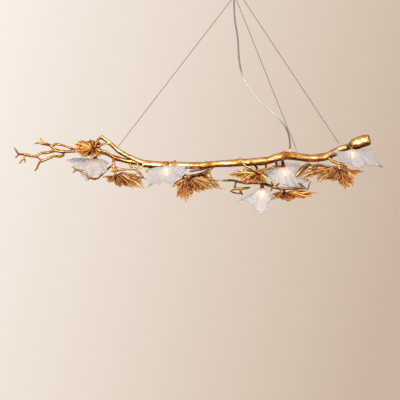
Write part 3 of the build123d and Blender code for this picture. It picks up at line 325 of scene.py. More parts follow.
def frosted_glass():
    """Acid-frosted glass, smoother towards the rim, painted with a glow near its bulb, and darker on the
    dim shades as painted shade.
    """
    g = Paint("frosted_glass")
    # Painted glow near the bulb, given off by the glass itself
    glow = g.attribute("glow")
    painted_glow_core = g.combine("POWER", glow, 5.0)
    ripple = g.noise(85)
    cloud = g.noise(30)
    dim = g.ramp(cloud, (0.3, (0.63, 0.62, 0.645)), (0.7, (0.70, 0.69, 0.715)))
    pale = g.ramp(cloud, (0.3, (0.83, 0.82, 0.85)), (0.7, (0.89, 0.88, 0.91)))
    polish = g.weighted((g.attribute("rim"), 0.7), (ripple, 0.3))
    g.set(
        # Painted shade: dim shades take the darker glass colour
        Base_Color=g.mix(g.attribute("pale"), dim, pale),
        Roughness=g.band(polish, 0.45, 0.95, start=0.55, end=0.40),
        IOR=1.12,
        Transmission_Weight=0.34,
        Emission_Color=PAINTED_GLOW_AMBER,
        Emission_Strength=g.weighted((glow, 0.32), (painted_glow_core, 2.2)),
        Specular_IOR_Level=0.25,
        Normal=g.bump(ripple, strength=0.03, distance=0.003),
    )
    return g.material


def lit_bulb(name, strength):
    """Glass capsule lit from inside, white hot in the middle and amber at the edge."""
    g = Paint(name)
    edge = g.node("ShaderNodeLayerWeight").outputs["Facing"]
    cooling = g.weighted((edge, 0.8), (g.noise(60, detail=2), 0.2))
    g.set(
        Base_Color=BULB_CLEAR,
        Roughness=0.15,
        Emission_Color=g.ramp(cooling, (0.15, (1.0, 0.80, 0.55)), (0.7, (1.0, 0.50, 0.16))),
        Emission_Strength=g.band(cooling, 0.15, 0.8, start=strength, end=0.3 * strength),
    )
    return g.material


def metal(name, dark, light, rough, scale, stretch):
    """Satin metal with a fine brushed grain."""
    g = Paint(name)
    grain = g.noise(1, detail=4, place=g.scaled(*[scale * share for share in stretch]))
    g.set(
        Base_Color=g.ramp(g.noise(40), (0.3, dark), (0.7, light)),
        Metallic=1.0,
        Roughness=g.band(grain, 0.3, 0.7, start=rough - GRAIN_SWING, end=rough + GRAIN_SWING),
        Normal=g.bump(grain, strength=0.2, distance=0.0004),
    )
    return g.material


def cable_steel():
    """Fine stranded steel."""
    g = Paint("cable_steel")
    tone = g.twist(260)
    g.set(
        Base_Color=g.ramp(tone, (0.2, (0.025, 0.025, 0.025)), (0.8, (0.10, 0.097, 0.095))),
        Metallic=0.8,
        Roughness=0.42,
        Normal=g.bump(tone, strength=0.4, distance=0.0003),
    )
    return g.material


def clear_cord():
    """Clear sleeve over silvery twisted wires, paler with a painted highlight where its bend catches the
    light.
    """
    g = Paint("clear_cord")
    height = g.axes(g.place)["Z"]
    # Painted highlight on a stretch of the cord's height
    bend = g.combine("MULTIPLY", g.band(height, *CORD_HIGHLIGHT_FROM), g.band(height, *CORD_HIGHLIGHT_TO))
    tone = g.twist(90)
    dull = g.ramp(tone, (0.15, (0.09, 0.09, 0.09)), (0.85, (0.22, 0.215, 0.21)))
    pale = g.ramp(tone, (0.15, (0.68, 0.67, 0.66)), (0.85, (0.86, 0.85, 0.84)))
    g.set(
        Base_Color=g.mix(bend, dull, pale),
        Metallic=0.35,
        Roughness=g.band(tone, 0.0, 1.0, start=0.22, end=0.34),
        Coat_Weight=0.6,
        Coat_Roughness=0.08,
        Normal=g.bump(tone, strength=0.25, distance=0.0005),
    )
    return g.material


def gland_metal():
    """Bright ferrule under a brown ring."""
    g = Paint("gland_metal")
    grain = g.noise(300)
    ring = g.band(g.axes(g.place)["Z"], *[GLAND_MOUTH.z + edge for edge in GLAND_RING])
    silver = g.ramp(grain, (0.3, (0.82, 0.82, 0.81)), (0.7, (0.95, 0.95, 0.94)))
    g.set(
        Base_Color=g.mix(ring, silver, RING_BROWN),
        Metallic=1.0,
        Roughness=g.band(grain, 0.3, 0.7, start=0.30, end=0.42),
        Normal=g.bump(grain, strength=0.2, distance=0.0004),
    )
    return g.material


def moulded(name, dark, light, rough):
    """Moulded plastic, rubber or fired ceramic."""
    g = Paint(name)
    speck = g.noise(420, detail=4)
    g.set(
        Base_Color=g.ramp(speck, (0.35, dark), (0.65, light)),
        Roughness=g.band(speck, 0.3, 0.7, start=rough - SPECK_SWING, end=rough + SPECK_SWING),
        Normal=g.bump(speck, strength=0.15, distance=0.0003),
    )
    return g.material


finish = {
    "gilded_branch": branch_gold("branch_gold"),
    "antique_leaf": leaf_gold(),
    "frosted_glass": frosted_glass(),
    "bulb_glass": lit_bulb("lit_bulb", BULB_LIGHT),
    "satin_gold": metal("satin_gold", (0.52, 0.32, 0.11), (0.74, 0.50, 0.20), 0.30, 60, (1, 1, 8)),
    "steel": metal("steel", (0.42, 0.42, 0.42), (0.60, 0.60, 0.59), 0.30, 90, (1, 6, 6)),
    "clear_pvc": clear_cord(),
    "white_ceramic": moulded("white_ceramic", (0.72, 0.70, 0.66), (0.84, 0.82, 0.78), 0.55),
    "gasket_rubber": moulded("gasket_rubber", (0.62, 0.60, 0.57), (0.72, 0.70, 0.67), 0.6),
    "white_nylon": moulded("white_nylon", (0.74, 0.74, 0.72), (0.82, 0.82, 0.80), 0.45),
}
strand = cable_steel()
shaded_gold = branch_gold("shaded_gold")
twig_gold = branch_gold("twig_gold")
for part in frame["record"]["subparts"]:
    obj = nodes[part["node"]]
    obj.data.materials.clear()
    obj.data.materials.append(finish[part["material_slot"]])
nodes["bulb_1"].data.materials[0] = lit_bulb("dim_bulb", DIM_BULB_LIGHT)
nodes["cord_gland"].data.materials[0] = gland_metal()

# Cords, in metres. A cable starts at its gripper and ends at a picture point in the branch.
CABLE_RADIUS = 0.0010
CABLE_TAIL = 0.012  # stretch inside the gripper
CABLE_LEAD = 0.012  # distance of the second point from either end
CABLE_STOP = 0.0026  # distance by which a cable ends short of its anchor
CABLES = {
    "left": ((-0.01183, -0.01410, -0.092), (116.3, 149.0, 0.0)),
    "middle": ((-0.00629, 0.01729, -0.092), (299.3, 156.4, 0.003)),
    "right": ((0.01812, -0.00320, -0.092), (342.2, 148.5, 0.0)),
}
CORD_RADIUS = 0.0032
CORD_EXIT = Vector((-0.0116, 0.001, -0.098))
CORD_POINTS = (
    (234.0, 18.0, -0.0100),
    (238.2, 38.0, -0.005),
    (238.6, 60.0, -0.006),
    (243.2, 80.0, -0.009),
    (256.0, 98.5, -0.011),
    (270.5, 110.5, -0.011),
    (282.8, 122.5, -0.006),
    (290.0, 135.0, -0.001),
)
ROUND_STEPS = 4
RUN_STEPS = 16


def route(name, points, radius, material):
    """Round cord on one smooth line."""
    data = bpy.data.curves.new(name, "CURVE")
    data.dimensions = "3D"
    data.bevel_depth = radius
    data.bevel_resolution = ROUND_STEPS
    data.resolution_u = RUN_STEPS
    data.use_fill_caps = True
    spline = data.splines.new("NURBS")
    spline.points.add(len(points) - 1)
    for point, place in zip(spline.points, points):
        point.co = (*place, 1.0)
    spline.order_u = 3
    spline.use_endpoint_u = True
    data.materials.append(material)
    return linked(bpy.data.objects.new(name, data))


for side, (start, anchor) in CABLES.items():
    start = Vector(start)
    end = spot(*anchor)
    along = (end - start).normalized()
    top = start - along * CABLE_TAIL
    foot = end - along * CABLE_STOP
    lead = along * CABLE_LEAD
    cable = route(f"steel_cable_{side}", (top, top + lead, foot - lead, foot), CABLE_RADIUS, strand)
    stand_in(cable, "steel", f"cable_{side}")

cord_line = (CORD_EXIT, *[spot(*point) for point in CORD_POINTS], GLAND_MOUTH)
cord = route("supply_cord", cord_line, CORD_RADIUS, finish["clear_pvc"])
stand_in(cord, "clear_pvc", "power_cord")

# Tubes and sheets, in metres. A sheet lies in its own plane with its facing as the way up.
TUBE_SIDES = 12
LOBE_TURN = 1.18  # widest turn that a lobe's corners spread over, in radians
NOTCH_FALL = 0.2  # how much deeper a notch is cut for each radian between its lobes
NOTCH_TURN = 2.1  # turn from which a notch gets no deeper
NOTCH_RIDGE = -1.0  # a notch lies as far below the sheet as a crease stands above it
SEAT_MARGIN = 1.6  # least reach of the outline, in radii of the seat
CREASE_SHARE = 0.05  # highest crease as a share of the lobe's reach
CREASE_END = 0.9
SEAT_FADE = 4  # veins and waves are full from a quarter of the way out
DRIFT_SCALE = 32
WAVE_SCALE = 22
MIDRIB_WIDTH = 0.0022
SIDE_VEIN_LEAN = 0.9
SIDE_VEIN_START = 0.006
# Side veins get this share of the midrib's painted highlight
SIDE_VEIN_TONE = 0.55
# Reach of the painted glow that a glass shade gives off around its bulb
GLOW_REACH = 0.026
MERGE_DISTANCE = 1e-6

# A lobe's corners run from its tip to its last tooth, each as a share of the turn to the next lobe, a share
# of the lobe's reach and a share of its crease. A bow above 1 bends a lobe towards its tip, one below 1
# towards its seat. Split counts the steps from corner to corner, rings those from the seat to the rim.
SheetStyle = namedtuple(
    "SheetStyle",
    "lobe notch seat hole crease bow thickness split rings vein_height pleat spacing tooth wave",
)
LEAF_STYLE = SheetStyle(
    lobe=((0.0, 1.0, 1.0), (0.08, 0.84, 0.6), (0.15, 0.89, 0.4), (0.24, 0.73, 0.1), (0.34, 0.81, 0.0)),
    notch=0.93,
    seat=0.007,
    hole=0.0,
    crease=0.005,
    bow=1.4,
    thickness=0.0022,
    split=8,
    rings=30,
    vein_height=0.0028,
    pleat=0.0022,
    spacing=0.025,
    tooth=0.04,
    wave=0.008,
)
GLASS_STYLE = SheetStyle(
    lobe=((0.0, 1.0, 1.0), (0.17, 0.86, 0.2), (0.34, 0.86, 0.0)),
    notch=1.0,
    seat=0.015,
    hole=0.0056,
    crease=0.0025,
    bow=0.8,
    thickness=0.004,
    split=7,
    rings=18,
    vein_height=0.0,
    pleat=0.0003,
    spacing=0.024,
    tooth=0.015,
    wave=0.006,
)


def tube(bm, stations):
    """Closed tube through stations of column, row, depth and radius."""
    centres = [spot(*station[:3]) for station in stations]
    last = len(stations) - 1
    turns = [2 * math.pi * k / TUBE_SIDES for k in range(TUBE_SIDES)]
    side = (centres[1] - centres[0]).orthogonal().normalized()
    rings = []
    for index, station in enumerate(stations):
        run = (centres[min(index + 1, last)] - centres[max(index - 1, 0)]).normalized()
        across = run.cross(side).normalized()
        side = across.cross(run)
        rings.append([
            bm.verts.new(centres[index] + (side * math.cos(turn) + across * math.sin(turn)) * station[3])
            for turn in turns
        ])
    for lower, upper in zip(rings, rings[1:]):
        for (a, b), (c, d) in zip(around(lower), around(upper)):
            bm.faces.new((a, b, d, c))
    bm.faces.new(rings[0][::-1])
    bm.faces.new(rings[-1])


def smoothed(bm):
    """Shade every face smooth."""
    for face in bm.faces:
        face.smooth = True


class Sheet:
    """Lobed sheet that falls from a flat round seat to its tips, with a ridge and veins along each lobe."""

    def __init__(self, style, origin, facing, tips):
        self.style = style
        self.origin = origin
        self.up = Vector(facing).normalized()
        self.side = (Vector((1, 0, 0)) - self.up * self.up.x).normalized()
        self.across = self.up.cross(self.side)
        self.lobes = sorted(self.polar(tip) for tip in tips)

    def polar(self, tip):
        """Angle, reach and fall of a lobe tip."""
        x = tip.dot(self.side)
        y = tip.dot(self.across)
        return math.atan2(y, x), math.hypot(x, y), tip.dot(self.up)

    def spokes(self):
        """Angle, edge, full reach, fall and ridge of each corner of the outline."""
        lobe = self.style.lobe
        corners = []
        for (angle, reach, fall), (next_angle, next_reach, next_fall) in around(self.lobes):
            gap = (next_angle - angle) % (2 * math.pi)
            spread = min(gap, LOBE_TURN)
            middle = (reach + next_reach) / 2
            notch = self.style.notch - NOTCH_FALL * min(gap, NOTCH_TURN)
            for turn, share, ridge in lobe:
                corners.append((angle + turn * spread, share * reach, reach, fall, ridge))
            corners.append((angle + gap / 2, notch * middle, middle, (fall + next_fall) / 2, NOTCH_RIDGE))
            for turn, share, ridge in lobe[:0:-1]:
                back = angle + gap - turn * spread
                corners.append((back, share * next_reach, next_reach, next_fall, ridge))
        least = SEAT_MARGIN * self.style.seat
        return [(angle, max(edge, least), *rest) for angle, edge, *rest in corners]

    def fine_spokes(self):
        """More spokes, along straight edges from corner to corner."""
        fine = []
        for a, b in around(self.spokes()):
            start = Vector((math.cos(a[0]), math.sin(a[0]))) * a[1]
            end = Vector((math.cos(b[0]), math.sin(b[0]))) * b[1]
            for step in range(self.style.split):
                t = step / self.style.split
                border = start.lerp(end, t)
                ease = t * t * (3 - 2 * t)
                rest = [lerp(p, q, ease) for p, q in zip(a[2:], b[2:])]
                fine.append((math.atan2(border.y, border.x), border.length, *rest))
        return fine

    def vein(self, radius, angle, seed):
        """Height of the nearest midrib and of the side veins that leave it, each 0 to 1."""
        place = Vector((radius * math.cos(angle), radius * math.sin(angle), seed))
        drift = noise.noise(place * DRIFT_SCALE)
        turn = min(abs((angle - lobe[0] + math.pi) % (2 * math.pi) - math.pi) for lobe in self.lobes)
        ahead = radius * math.cos(turn)
        beside = radius * math.sin(turn)
        midrib = math.exp(-((beside / MIDRIB_WIDTH) ** 2))
        count = (ahead - SIDE_VEIN_LEAN * beside) / self.style.spacing + drift
        wave = 0.5 + 0.5 * math.cos(2 * math.pi * count)
        return midrib, wave * min(1, beside / SIDE_VEIN_START)

    def point(self, step, spoke, seed):
        """Place, share of the way out and vein tone, the share of painted highlight, of one point. Step -1
        is the edge of the hole.
        """
        style = self.style
        angle, edge, full, fall, ridge = spoke
        part = max(step, 0) / style.rings
        fade = min(1, part * SEAT_FADE)
        midrib, side = self.vein(edge, angle, seed)
        reach = edge * (1 + style.tooth * (side - 0.5) * (1 - midrib))
        radius = lerp(style.seat, reach, part) if step >= 0 else style.hole
        share = max(0, (radius - style.seat) / (full - style.seat))
        rise = min(style.crease, CREASE_SHARE * full) * ridge
        height = fall * share**style.bow + rise * math.sin(math.pi * min(part, CREASE_END))
        midrib, side = self.vein(radius, angle, seed)
        height += fade * (style.vein_height * midrib + style.pleat * (side - 0.5))
        local = Vector((radius * math.cos(angle), radius * math.sin(angle), height))
        local.z += fade * style.wave * noise.noise(local * WAVE_SCALE + Vector((seed, 0, 0)))
        place = self.origin + self.side * local.x + self.across * local.y + self.up * local.z
        return place, part, max(midrib, side * SIDE_VEIN_TONE) * fade

    def build(self, name, seed, pale, lamp=None):
        """The sheet as an object that keeps vein highlight, rim, paleness and painted glow for its
        material.
        """
        spokes = self.fine_spokes()
        bm = bmesh.new()
        vein_layer, rim_layer, pale_layer, glow_layer = [
            bm.verts.layers.float.new(kind) for kind in ("vein", "rim", "pale", "glow")
        ]
        rows = []
        for step in range(-1, self.style.rings + 1):
            row = []
            for spoke in spokes:
                place, part, vein = self.point(step, spoke, seed)
                vert = bm.verts.new(place)
                vert[vein_layer] = vein
                vert[rim_layer] = part
                vert[pale_layer] = pale
                if lamp:
                    # Painted glow, strongest at the bulb
                    vert[glow_layer] = math.exp(-(((vert.co - lamp).length / GLOW_REACH) ** 2))
                row.append(vert)
            rows.append(row)
        for inner, outer in zip(rows, rows[1:]):
            for (a, b), (c, d) in zip(around(inner), around(outer)):
                bm.faces.new((a, c, d, b))
        smoothed(bm)
        bmesh.ops.remove_doubles(bm, verts=bm.verts, dist=MERGE_DISTANCE)
        obj = mesh_object(name, bm)
        solid = obj.modifiers.new("thickness", "SOLIDIFY")
        solid.thickness = self.style.thickness
        solid.offset = -1
        return obj


# Gold leaves. A seat is a picture point, paleness runs from ruddy to tan, stalks are stations of tubes.
Leaf = namedtuple("Leaf", "seat facing pale tips stalks")
LEAVES = (
    Leaf(
        seat=(94.4, 147.8, -0.020),
        facing=(0.10, -0.55, 0.83),
        pale=0.2,
        tips=offsets(
            (-22.0, -4.5, 0.005), (-15.0, -8.0, 0.038), (-5.0, -9.0, 0.048), (3.5, -8.3, 0.042),
            (7.5, 4.0, -0.016), (6.0, 9.5, -0.048), (-3.0, 10.5, -0.052), (-13.0, 11.0, -0.058),
            (-21.0, 5.0, -0.040),
        ),
        stalks=(
            (
                (101.6, 137.4, -0.002, 0.0046), (98.2, 139.6, -0.008, 0.0038),
                (96.4, 143.0, -0.015, 0.0034), (94.4, 147.7, -0.020, 0.0032),
            ),
        ),
    ),
    Leaf(
        seat=(116.0, 175.0, -0.025),
        facing=(-0.20, -0.10, 0.97),
        pale=0.6,
        tips=offsets(
            (30.0, 14.0, -0.070), (31.5, 5.1, 0.031), (20.8, 0.5, 0.085), (-13.6, 2.3, -0.039),
            (-4.0, 8.5, -0.085), (6.7, 13.8, -0.112), (19.0, 14.8, -0.100),
        ),
        stalks=(
            (
                (114.0, 158.4, 0.001, 0.0046), (113.6, 163.0, -0.006, 0.0046),
                (113.9, 166.9, -0.010, 0.0046), (114.3, 171.0, -0.016, 0.0046),
                (116.0, 174.9, -0.025, 0.0041),
            ),
            ((114.2, 166.9, -0.010, 0.0030), (111.0, 166.6, -0.011, 0.0022)),
            ((114.6, 171.0, -0.016, 0.0030), (111.2, 171.2, -0.017, 0.0022)),
        ),
    ),
    Leaf(
        seat=(189.0, 179.2, -0.040),
        facing=(-0.15, -0.25, 0.95),
        pale=0.8,
        tips=offsets(
            (36.5, 10.2, -0.010), (24.0, 12.0, -0.105), (11.0, 15.0, -0.125), (-2.7, 24.0, -0.124),
            (-18.2, 7.5, -0.020), (23.0, -7.5, 0.093), (33.0, 3.0, 0.050),
        ),
        stalks=(((188.9, 178.6, -0.0396, 0.0034), (189.0, 179.3, -0.040, 0.0034)),),
    ),
    Leaf(
        seat=(258.5, 174.2, -0.020),
        facing=(0.10, -0.40, 0.90),
        pale=0.5,
        tips=offsets(
            (-33.2, 0.7, 0.0), (-24.0, -3.4, 0.038), (-13.0, -4.8, 0.062), (6.0, -3.0, 0.050),
            (8.7, 4.0, -0.020), (8.0, 10.4, -0.062), (-7.0, 11.0, -0.080), (-20.0, 7.6, -0.058),
        ),
        stalks=(((258.8, 172.9, -0.020, 0.0032), (258.5, 174.3, -0.020, 0.0032)),),
    ),
    Leaf(
        seat=(284.0, 193.0, -0.036),
        facing=(-0.05, -0.25, 0.96),
        pale=0.1,
        tips=offsets(
            (34.0, 0.8, -0.015), (27.0, 4.0, -0.065), (24.0, -2.5, 0.030), (14.0, 0.8, 0.075),
            (2.0, 0.8, 0.070), (-10.5, 0.4, 0.060), (-10.0, 4.6, -0.050), (5.3, 9.3, -0.090),
            (17.0, 6.0, -0.085),
        ),
        stalks=(
            (
                (283.4, 188.8, -0.045, 0.0038), (283.7, 191.0, -0.040, 0.0034),
                (284.0, 193.1, -0.036, 0.0032),
            ),
        ),
    ),
    Leaf(
        seat=(339.3, 169.3, -0.020),
        facing=(0.15, -0.25, 0.95),
        pale=1.0,
        tips=offsets(
            (23.9, 3.2, -0.015), (3.3, 21.8, -0.112), (-9.0, 14.5, -0.125), (-25.0, 14.0, -0.115),
            (-42.6, 8.9, -0.010), (-33.0, -5.0, 0.080),
        ),
        stalks=(
            (
                (339.0, 163.6, -0.015, 0.0042), (339.0, 166.5, -0.018, 0.0038),
                (339.3, 169.4, -0.020, 0.0034),
            ),
        ),
    ),
)
for number, leaf in enumerate(LEAVES, start=1):
    sheet = Sheet(LEAF_STYLE, spot(*leaf.seat), leaf.facing, leaf.tips)
    obj = sheet.build(f"gold_leaf_{number}", seed=number * 7, pale=leaf.pale)
    obj.data.materials.append(finish["antique_leaf"])
    stand_in(obj, "antique_leaf", f"leaf_{number}")

# Rolled lobe behind leaf 6, a crinkled tube with a vein along every third side
ROLLED_LOBE = (
    (312.4, 166.0, 0.046, 0.0046), (308.6, 164.8, 0.036, 0.0100), (303.2, 168.8, 0.020, 0.0118),
    (298.4, 173.8, 0.006, 0.0098), (296.2, 176.6, 0.0, 0.0048),
)
ROLL_VEINS = 3
ROLL_PALE = 0.7
CRINKLE = Vector((0, 0, 0.003))
CRINKLE_SCALE = 60
bm = bmesh.new()
vein_layer = bm.verts.layers.float.new("vein")
pale_layer = bm.verts.layers.float.new("pale")
tube(bm, ROLLED_LOBE)
for index, vert in enumerate(bm.verts):
    vert[vein_layer] = float(index % ROLL_VEINS == 0)
    vert[pale_layer] = ROLL_PALE
bmesh.ops.subdivide_edges(bm, edges=bm.edges, cuts=5, use_grid_fill=True, smooth=0.6)
for vert in bm.verts:
    vert.co += CRINKLE * noise.noise(vert.co * CRINKLE_SCALE)
smoothed(bm)
rolled = mesh_object("rolled_lobe", bm)
rolled.data.materials.append(finish["antique_leaf"])
stand_in(rolled, "antique_leaf", "leaf_6")

# Glass shades. A seat is a picture point, paleness runs from dim glass, darkened as painted shade, to pale
# glass.
Shade = namedtuple("Shade", "seat facing pale tips")
SHADES = (
    Shade(
        seat=(95.0, 158.6, 0.010),
        facing=(0.08, -0.25, 0.96),
        pale=0.55,
        tips=offsets(
            (-29.0, 1.4, 0.005), (-9.0, 22.4, -0.045), (1.5, 18.0, -0.058), (9.5, 15.6, -0.044),
            (14.0, 4.0, 0.025), (-8.0, 6.0, 0.060),
        ),
    ),
    Shade(
        seat=(166.5, 166.6, -0.038),
        facing=(-0.05, 0.25, 0.96),
        pale=0.1,
        tips=offsets(
            (-19.5, 20.9, -0.015), (-8.0, 18.0, -0.052), (5.0, 18.0, -0.066), (15.0, 11.0, -0.045),
            (23.5, 0.4, -0.005), (6.0, 5.0, 0.048), (-19.5, 2.4, 0.022),
        ),
    ),
    Shade(
        seat=(262.0, 188.2, -0.010),
        facing=(0.0, -0.12, 0.99),
        pale=0.8,
        tips=offsets(
            (-1.5, 26.8, -0.040), (13.3, 11.6, -0.015), (10.0, 12.0, 0.050), (-12.0, 12.0, 0.050),
            (-25.6, 13.8, -0.012),
        ),
    ),
    Shade(
        seat=(284.0, 166.8, 0.045),
        facing=(-0.12, -0.20, 0.97),
        pale=0.9,
        tips=offsets(
            (-3.0, 21.0, -0.058), (12.0, 23.4, -0.045), (29.0, 15.0, 0.0), (16.0, -4.5, 0.050),
            (-4.0, -6.0, 0.055), (-16.0, 2.0, 0.040), (-20.5, 10.2, -0.030),
        ),
    ),
    Shade(
        seat=(351.0, 150.4, -0.040),
        facing=(-0.12, 0.20, 0.97),
        pale=0.1,
        tips=offsets(
            (7.0, 19.4, -0.075), (17.0, 16.8, -0.050), (34.0, 18.1, -0.010), (20.0, -1.5, 0.045),
            (-8.0, 6.0, 0.045), (-21.0, 2.9, -0.045), (-8.0, 14.5, -0.065),
        ),
    ),
)
for number, shade in enumerate(SHADES, start=1):
    bulb = nodes[f"bulb_{number}"]
    corners = [Vector(corner) for corner in bulb.bound_box]
    lamp = bulb.matrix_world @ (sum(corners, Vector()) / len(corners))
    sheet = Sheet(GLASS_STYLE, spot(*shade.seat), shade.facing, shade.tips)
    obj = sheet.build(f"glass_leaf_{number}", seed=number * 11 + 3, pale=shade.pale, lamp=lamp)
    obj.data.materials.append(finish["frosted_glass"])
    stand_in(obj, "frosted_glass", f"glass_shade_{number}")

# Cast skins run over the limbs, twigs, arms and leaf stalks. The swells fill the branch out where the
# photograph shows it thicker than the solids.
LIMBS = ("main_branch", "butt_end", "short_spurs")
# Twigs and arms in the branch's shadow take the shaded gold, a painted shadow
SHADED_TWIGS = ("triple_twig", "lower_limb", "net_twig", "lamp_arms")
TWIGS = (
    "left_limb", "long_twig", "lower_twig", "upper_twig", "under_twig", "forked_twig", "leaf_4_twig",
    "ladder_twig", "leaf_6_twig",
)
BUTT_SWELL = (
    (352.6, 144.0, -0.005, 0.0180), (358.0, 141.8, -0.013, 0.0190), (364.0, 139.8, -0.021, 0.0190),
    (368.4, 138.9, -0.027, 0.0170),
)
BRANCH_SWELL = (
    (347.0, 147.6, -0.001, 0.0122), (340.0, 149.8, 0.001, 0.0126), (335.0, 152.5, 0.002, 0.0132),
    (330.0, 155.1, 0.003, 0.0138), (325.0, 156.8, 0.004, 0.0144), (319.0, 158.0, 0.004, 0.0148),
    (312.0, 158.4, 0.004, 0.0138), (305.0, 158.0, 0.003, 0.0140), (300.0, 157.3, 0.002, 0.0148),
    (294.0, 156.2, 0.0, 0.0156), (287.0, 155.8, -0.001, 0.0154), (280.5, 156.8, -0.002, 0.0150),
    (275.0, 158.5, -0.002, 0.0150), (269.0, 160.4, -0.002, 0.0138), (261.0, 161.6, -0.001, 0.0146),
    (252.0, 162.2, 0.0, 0.0140), (244.5, 162.7, 0.001, 0.0136), (235.5, 163.1, 0.001, 0.0136),
    (225.0, 163.7, 0.002, 0.0132), (215.0, 164.2, 0.004, 0.0120), (203.0, 165.2, 0.004, 0.0116),
    (190.0, 165.5, 0.004, 0.0120), (178.0, 165.3, 0.003, 0.0130), (165.0, 165.3, 0.001, 0.0140),
    (152.0, 164.9, 0.0, 0.0146), (144.0, 163.8, 0.0, 0.0132),
)
SKIN_VOXEL = 0.0012
SKIN_RELIEF = (("lumps", 0.030, 0.0034), ("grain", 0.007, 0.0010))  # name, size and height
SKIN_LEVEL = 0.25


def skin(name, covered, tubes, material):
    """One lumpy skin over the named nodes and the added tubes."""
    bm = bmesh.new()
    for node in covered:
        bm.from_mesh(nodes[node].data)
    for stations in tubes:
        tube(bm, stations)
    obj = mesh_object(name, bm)
    wrap = obj.modifiers.new("wrap", "REMESH")
    wrap.mode = "VOXEL"
    wrap.voxel_size = SKIN_VOXEL
    wrap.use_smooth_shade = True
    soften = obj.modifiers.new("soften", "SMOOTH")
    soften.factor = 0.5
    soften.iterations = 2
    for kind, size, amount in SKIN_RELIEF:
        clouds = bpy.data.textures.new(kind, "CLOUDS")
        clouds.noise_scale = size
        swell = obj.modifiers.new(kind, "DISPLACE")
        swell.texture = clouds
        swell.texture_coords = "LOCAL"
        swell.strength = amount
        swell.mid_level = SKIN_LEVEL
    obj.data.materials.append(material)
    stand_in(obj, "gilded_branch", *covered)


skin("gilded_branch", LIMBS, [BUTT_SWELL, BRANCH_SWELL], finish["gilded_branch"])
skin("shaded_twigs", SHADED_TWIGS, [], shaded_gold)
skin("gilded_twigs", TWIGS, [stations for leaf in LEAVES for stations in leaf.stalks], twig_gold)

# Room, in metres. The wall's stops run from the upper left to the lower right of the camera's picture:
# painted light on the backdrop that darkens into painted shade.
FLOOR_DROP = 2.45
FLOOR_RADIUS = 4.0
FLOOR_SEGMENTS = 96
FLOOR_GLOW = 0.6
VIEW_CENTRE = Vector((-0.1476, 0.0110, -0.904))
VIEW_DISTANCE = 9.0
VIEW_WIDTH = 1.6
SENSOR_WIDTH = 36
WALL = ((0.0, (0.956, 0.871, 0.799)), (0.60, (0.730, 0.608, 0.508)), (0.92, (0.604, 0.468, 0.366)))
# How much the wall's painted shade deepens towards the bottom
WALL_SHADE_SLANT = 0.25
WALL_REACH = (1 + WALL_SHADE_SLANT) * VIEW_WIDTH / 2 / VIEW_DISTANCE
ROOM_TINT = (1.0, 0.95, 0.89)
ROOM_LEVELS = ((0.24, 0.04), (0.47, 0.76))  # height from straight down to straight up, and brightness
ROOM_TURN = (-0.1, 0.6)  # the room darkens to its level behind between these directions
ROOM_BEHIND = 0.28

bm = bmesh.new()
bmesh.ops.create_circle(bm, cap_ends=True, segments=FLOOR_SEGMENTS, radius=FLOOR_RADIUS)
floor = mesh_object("floor", bm)
floor.location = (0, 0, -FLOOR_DROP)
g = Paint("floor_paint")
paint = g.ramp(g.noise(3, detail=2), (0.3, (0.72, 0.65, 0.58)), (0.7, (0.76, 0.69, 0.62)))
seen = g.node("ShaderNodeLightPath").outputs["Is Camera Ray"]
glow = g.combine("MULTIPLY", seen, FLOOR_GLOW)
g.set(Base_Color=paint, Roughness=0.8, Emission_Color=paint, Emission_Strength=glow)
floor.data.materials.append(g.material)

# World: the wall for what the camera sees, also through glass, and the room for all other light
world = bpy.data.worlds.new("studio")
scene.world = world
g = Graph(world)
g.tree.nodes.clear()
ray = g.axes(g.node("ShaderNodeTexCoord").outputs["Generated"])
slant = g.combine("ADD", ray["X"], g.combine("MULTIPLY", ray["Z"], -WALL_SHADE_SLANT))
wall = g.node("ShaderNodeBackground")
g.feed(wall.inputs["Color"], g.ramp(g.band(slant, -WALL_REACH, WALL_REACH), *WALL))
levels = [(height, [level * share for share in ROOM_TINT]) for height, level in ROOM_LEVELS]
room = g.node("ShaderNodeBackground")
g.feed(room.inputs["Color"], g.ramp(g.band(ray["Z"], -1.0, 1.0), *levels))
g.feed(room.inputs["Strength"], g.band(ray["Y"], *ROOM_TURN, start=1.0, end=ROOM_BEHIND))
path = g.node("ShaderNodeLightPath").outputs
shown = g.combine("MAXIMUM", path["Is Camera Ray"], path["Is Transmission Ray"])
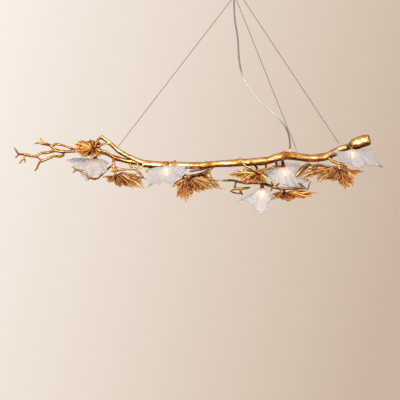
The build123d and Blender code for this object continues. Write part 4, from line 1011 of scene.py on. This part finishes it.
both = g.node("ShaderNodeMixShader")
for socket, value in zip(both.inputs, (shown, room.outputs[0], wall.outputs[0])):
    g.feed(socket, value)
g.feed(g.node("ShaderNodeOutputWorld").inputs["Surface"], both.outputs[0])

# Lamps: softboxes by place, width, height, power and colour, and small warm ones for the bulbs' spill
AIM = Vector((-0.1, 0.0, -0.76))
SOFTBOXES = {
    "key": ((-0.9, -2.5, 0.1), 2.6, 1.3, 44, (1.0, 0.96, 0.90)),
    "fill": ((1.8, -1.8, 0.0), 1.2, 1.2, 9, (1.0, 0.95, 0.88)),
    "rim": ((0.4, 1.8, 0.6), 1.6, 0.6, 2, (0.95, 0.97, 1.0)),
}
SPILL = ((158.0, 172.0, -0.085), (283.0, 166.0, -0.070), (360.0, 151.5, -0.115))
SPILL_POWER = 0.016
SPILL_COLOUR = (1.0, 0.62, 0.30)
SPILL_SIZE = 0.03


def lamp_object(name, kind, place, power, colour):
    """Lamp that the camera doesn't see."""
    data = bpy.data.lights.new(name, kind)
    data.energy = power
    data.color = colour
    obj = linked(bpy.data.objects.new(name, data))
    obj.location = place
    obj.visible_camera = False
    return obj


for name, (place, width, height, power, colour) in SOFTBOXES.items():
    softbox = lamp_object(name, "AREA", place, power, colour)
    softbox.data.shape = "RECTANGLE"
    softbox.data.size = width
    softbox.data.size_y = height
    softbox.rotation_euler = (AIM - Vector(place)).to_track_quat("-Z", "Y").to_euler()
for number, place in enumerate(SPILL, start=1):
    spill = lamp_object(f"spill_{number}", "POINT", spot(*place), SPILL_POWER, SPILL_COLOUR)
    spill.data.shadow_soft_size = SPILL_SIZE

# Camera
lens = bpy.data.cameras.new("camera")
lens.sensor_width = SENSOR_WIDTH
lens.lens = SENSOR_WIDTH * VIEW_DISTANCE / VIEW_WIDTH
camera = linked(bpy.data.objects.new("camera", lens))
camera.location = VIEW_CENTRE - Vector((0, VIEW_DISTANCE, 0))
camera.rotation_euler = (math.pi / 2, 0, 0)
scene.camera = camera
scene.view_settings.view_transform = "Standard"
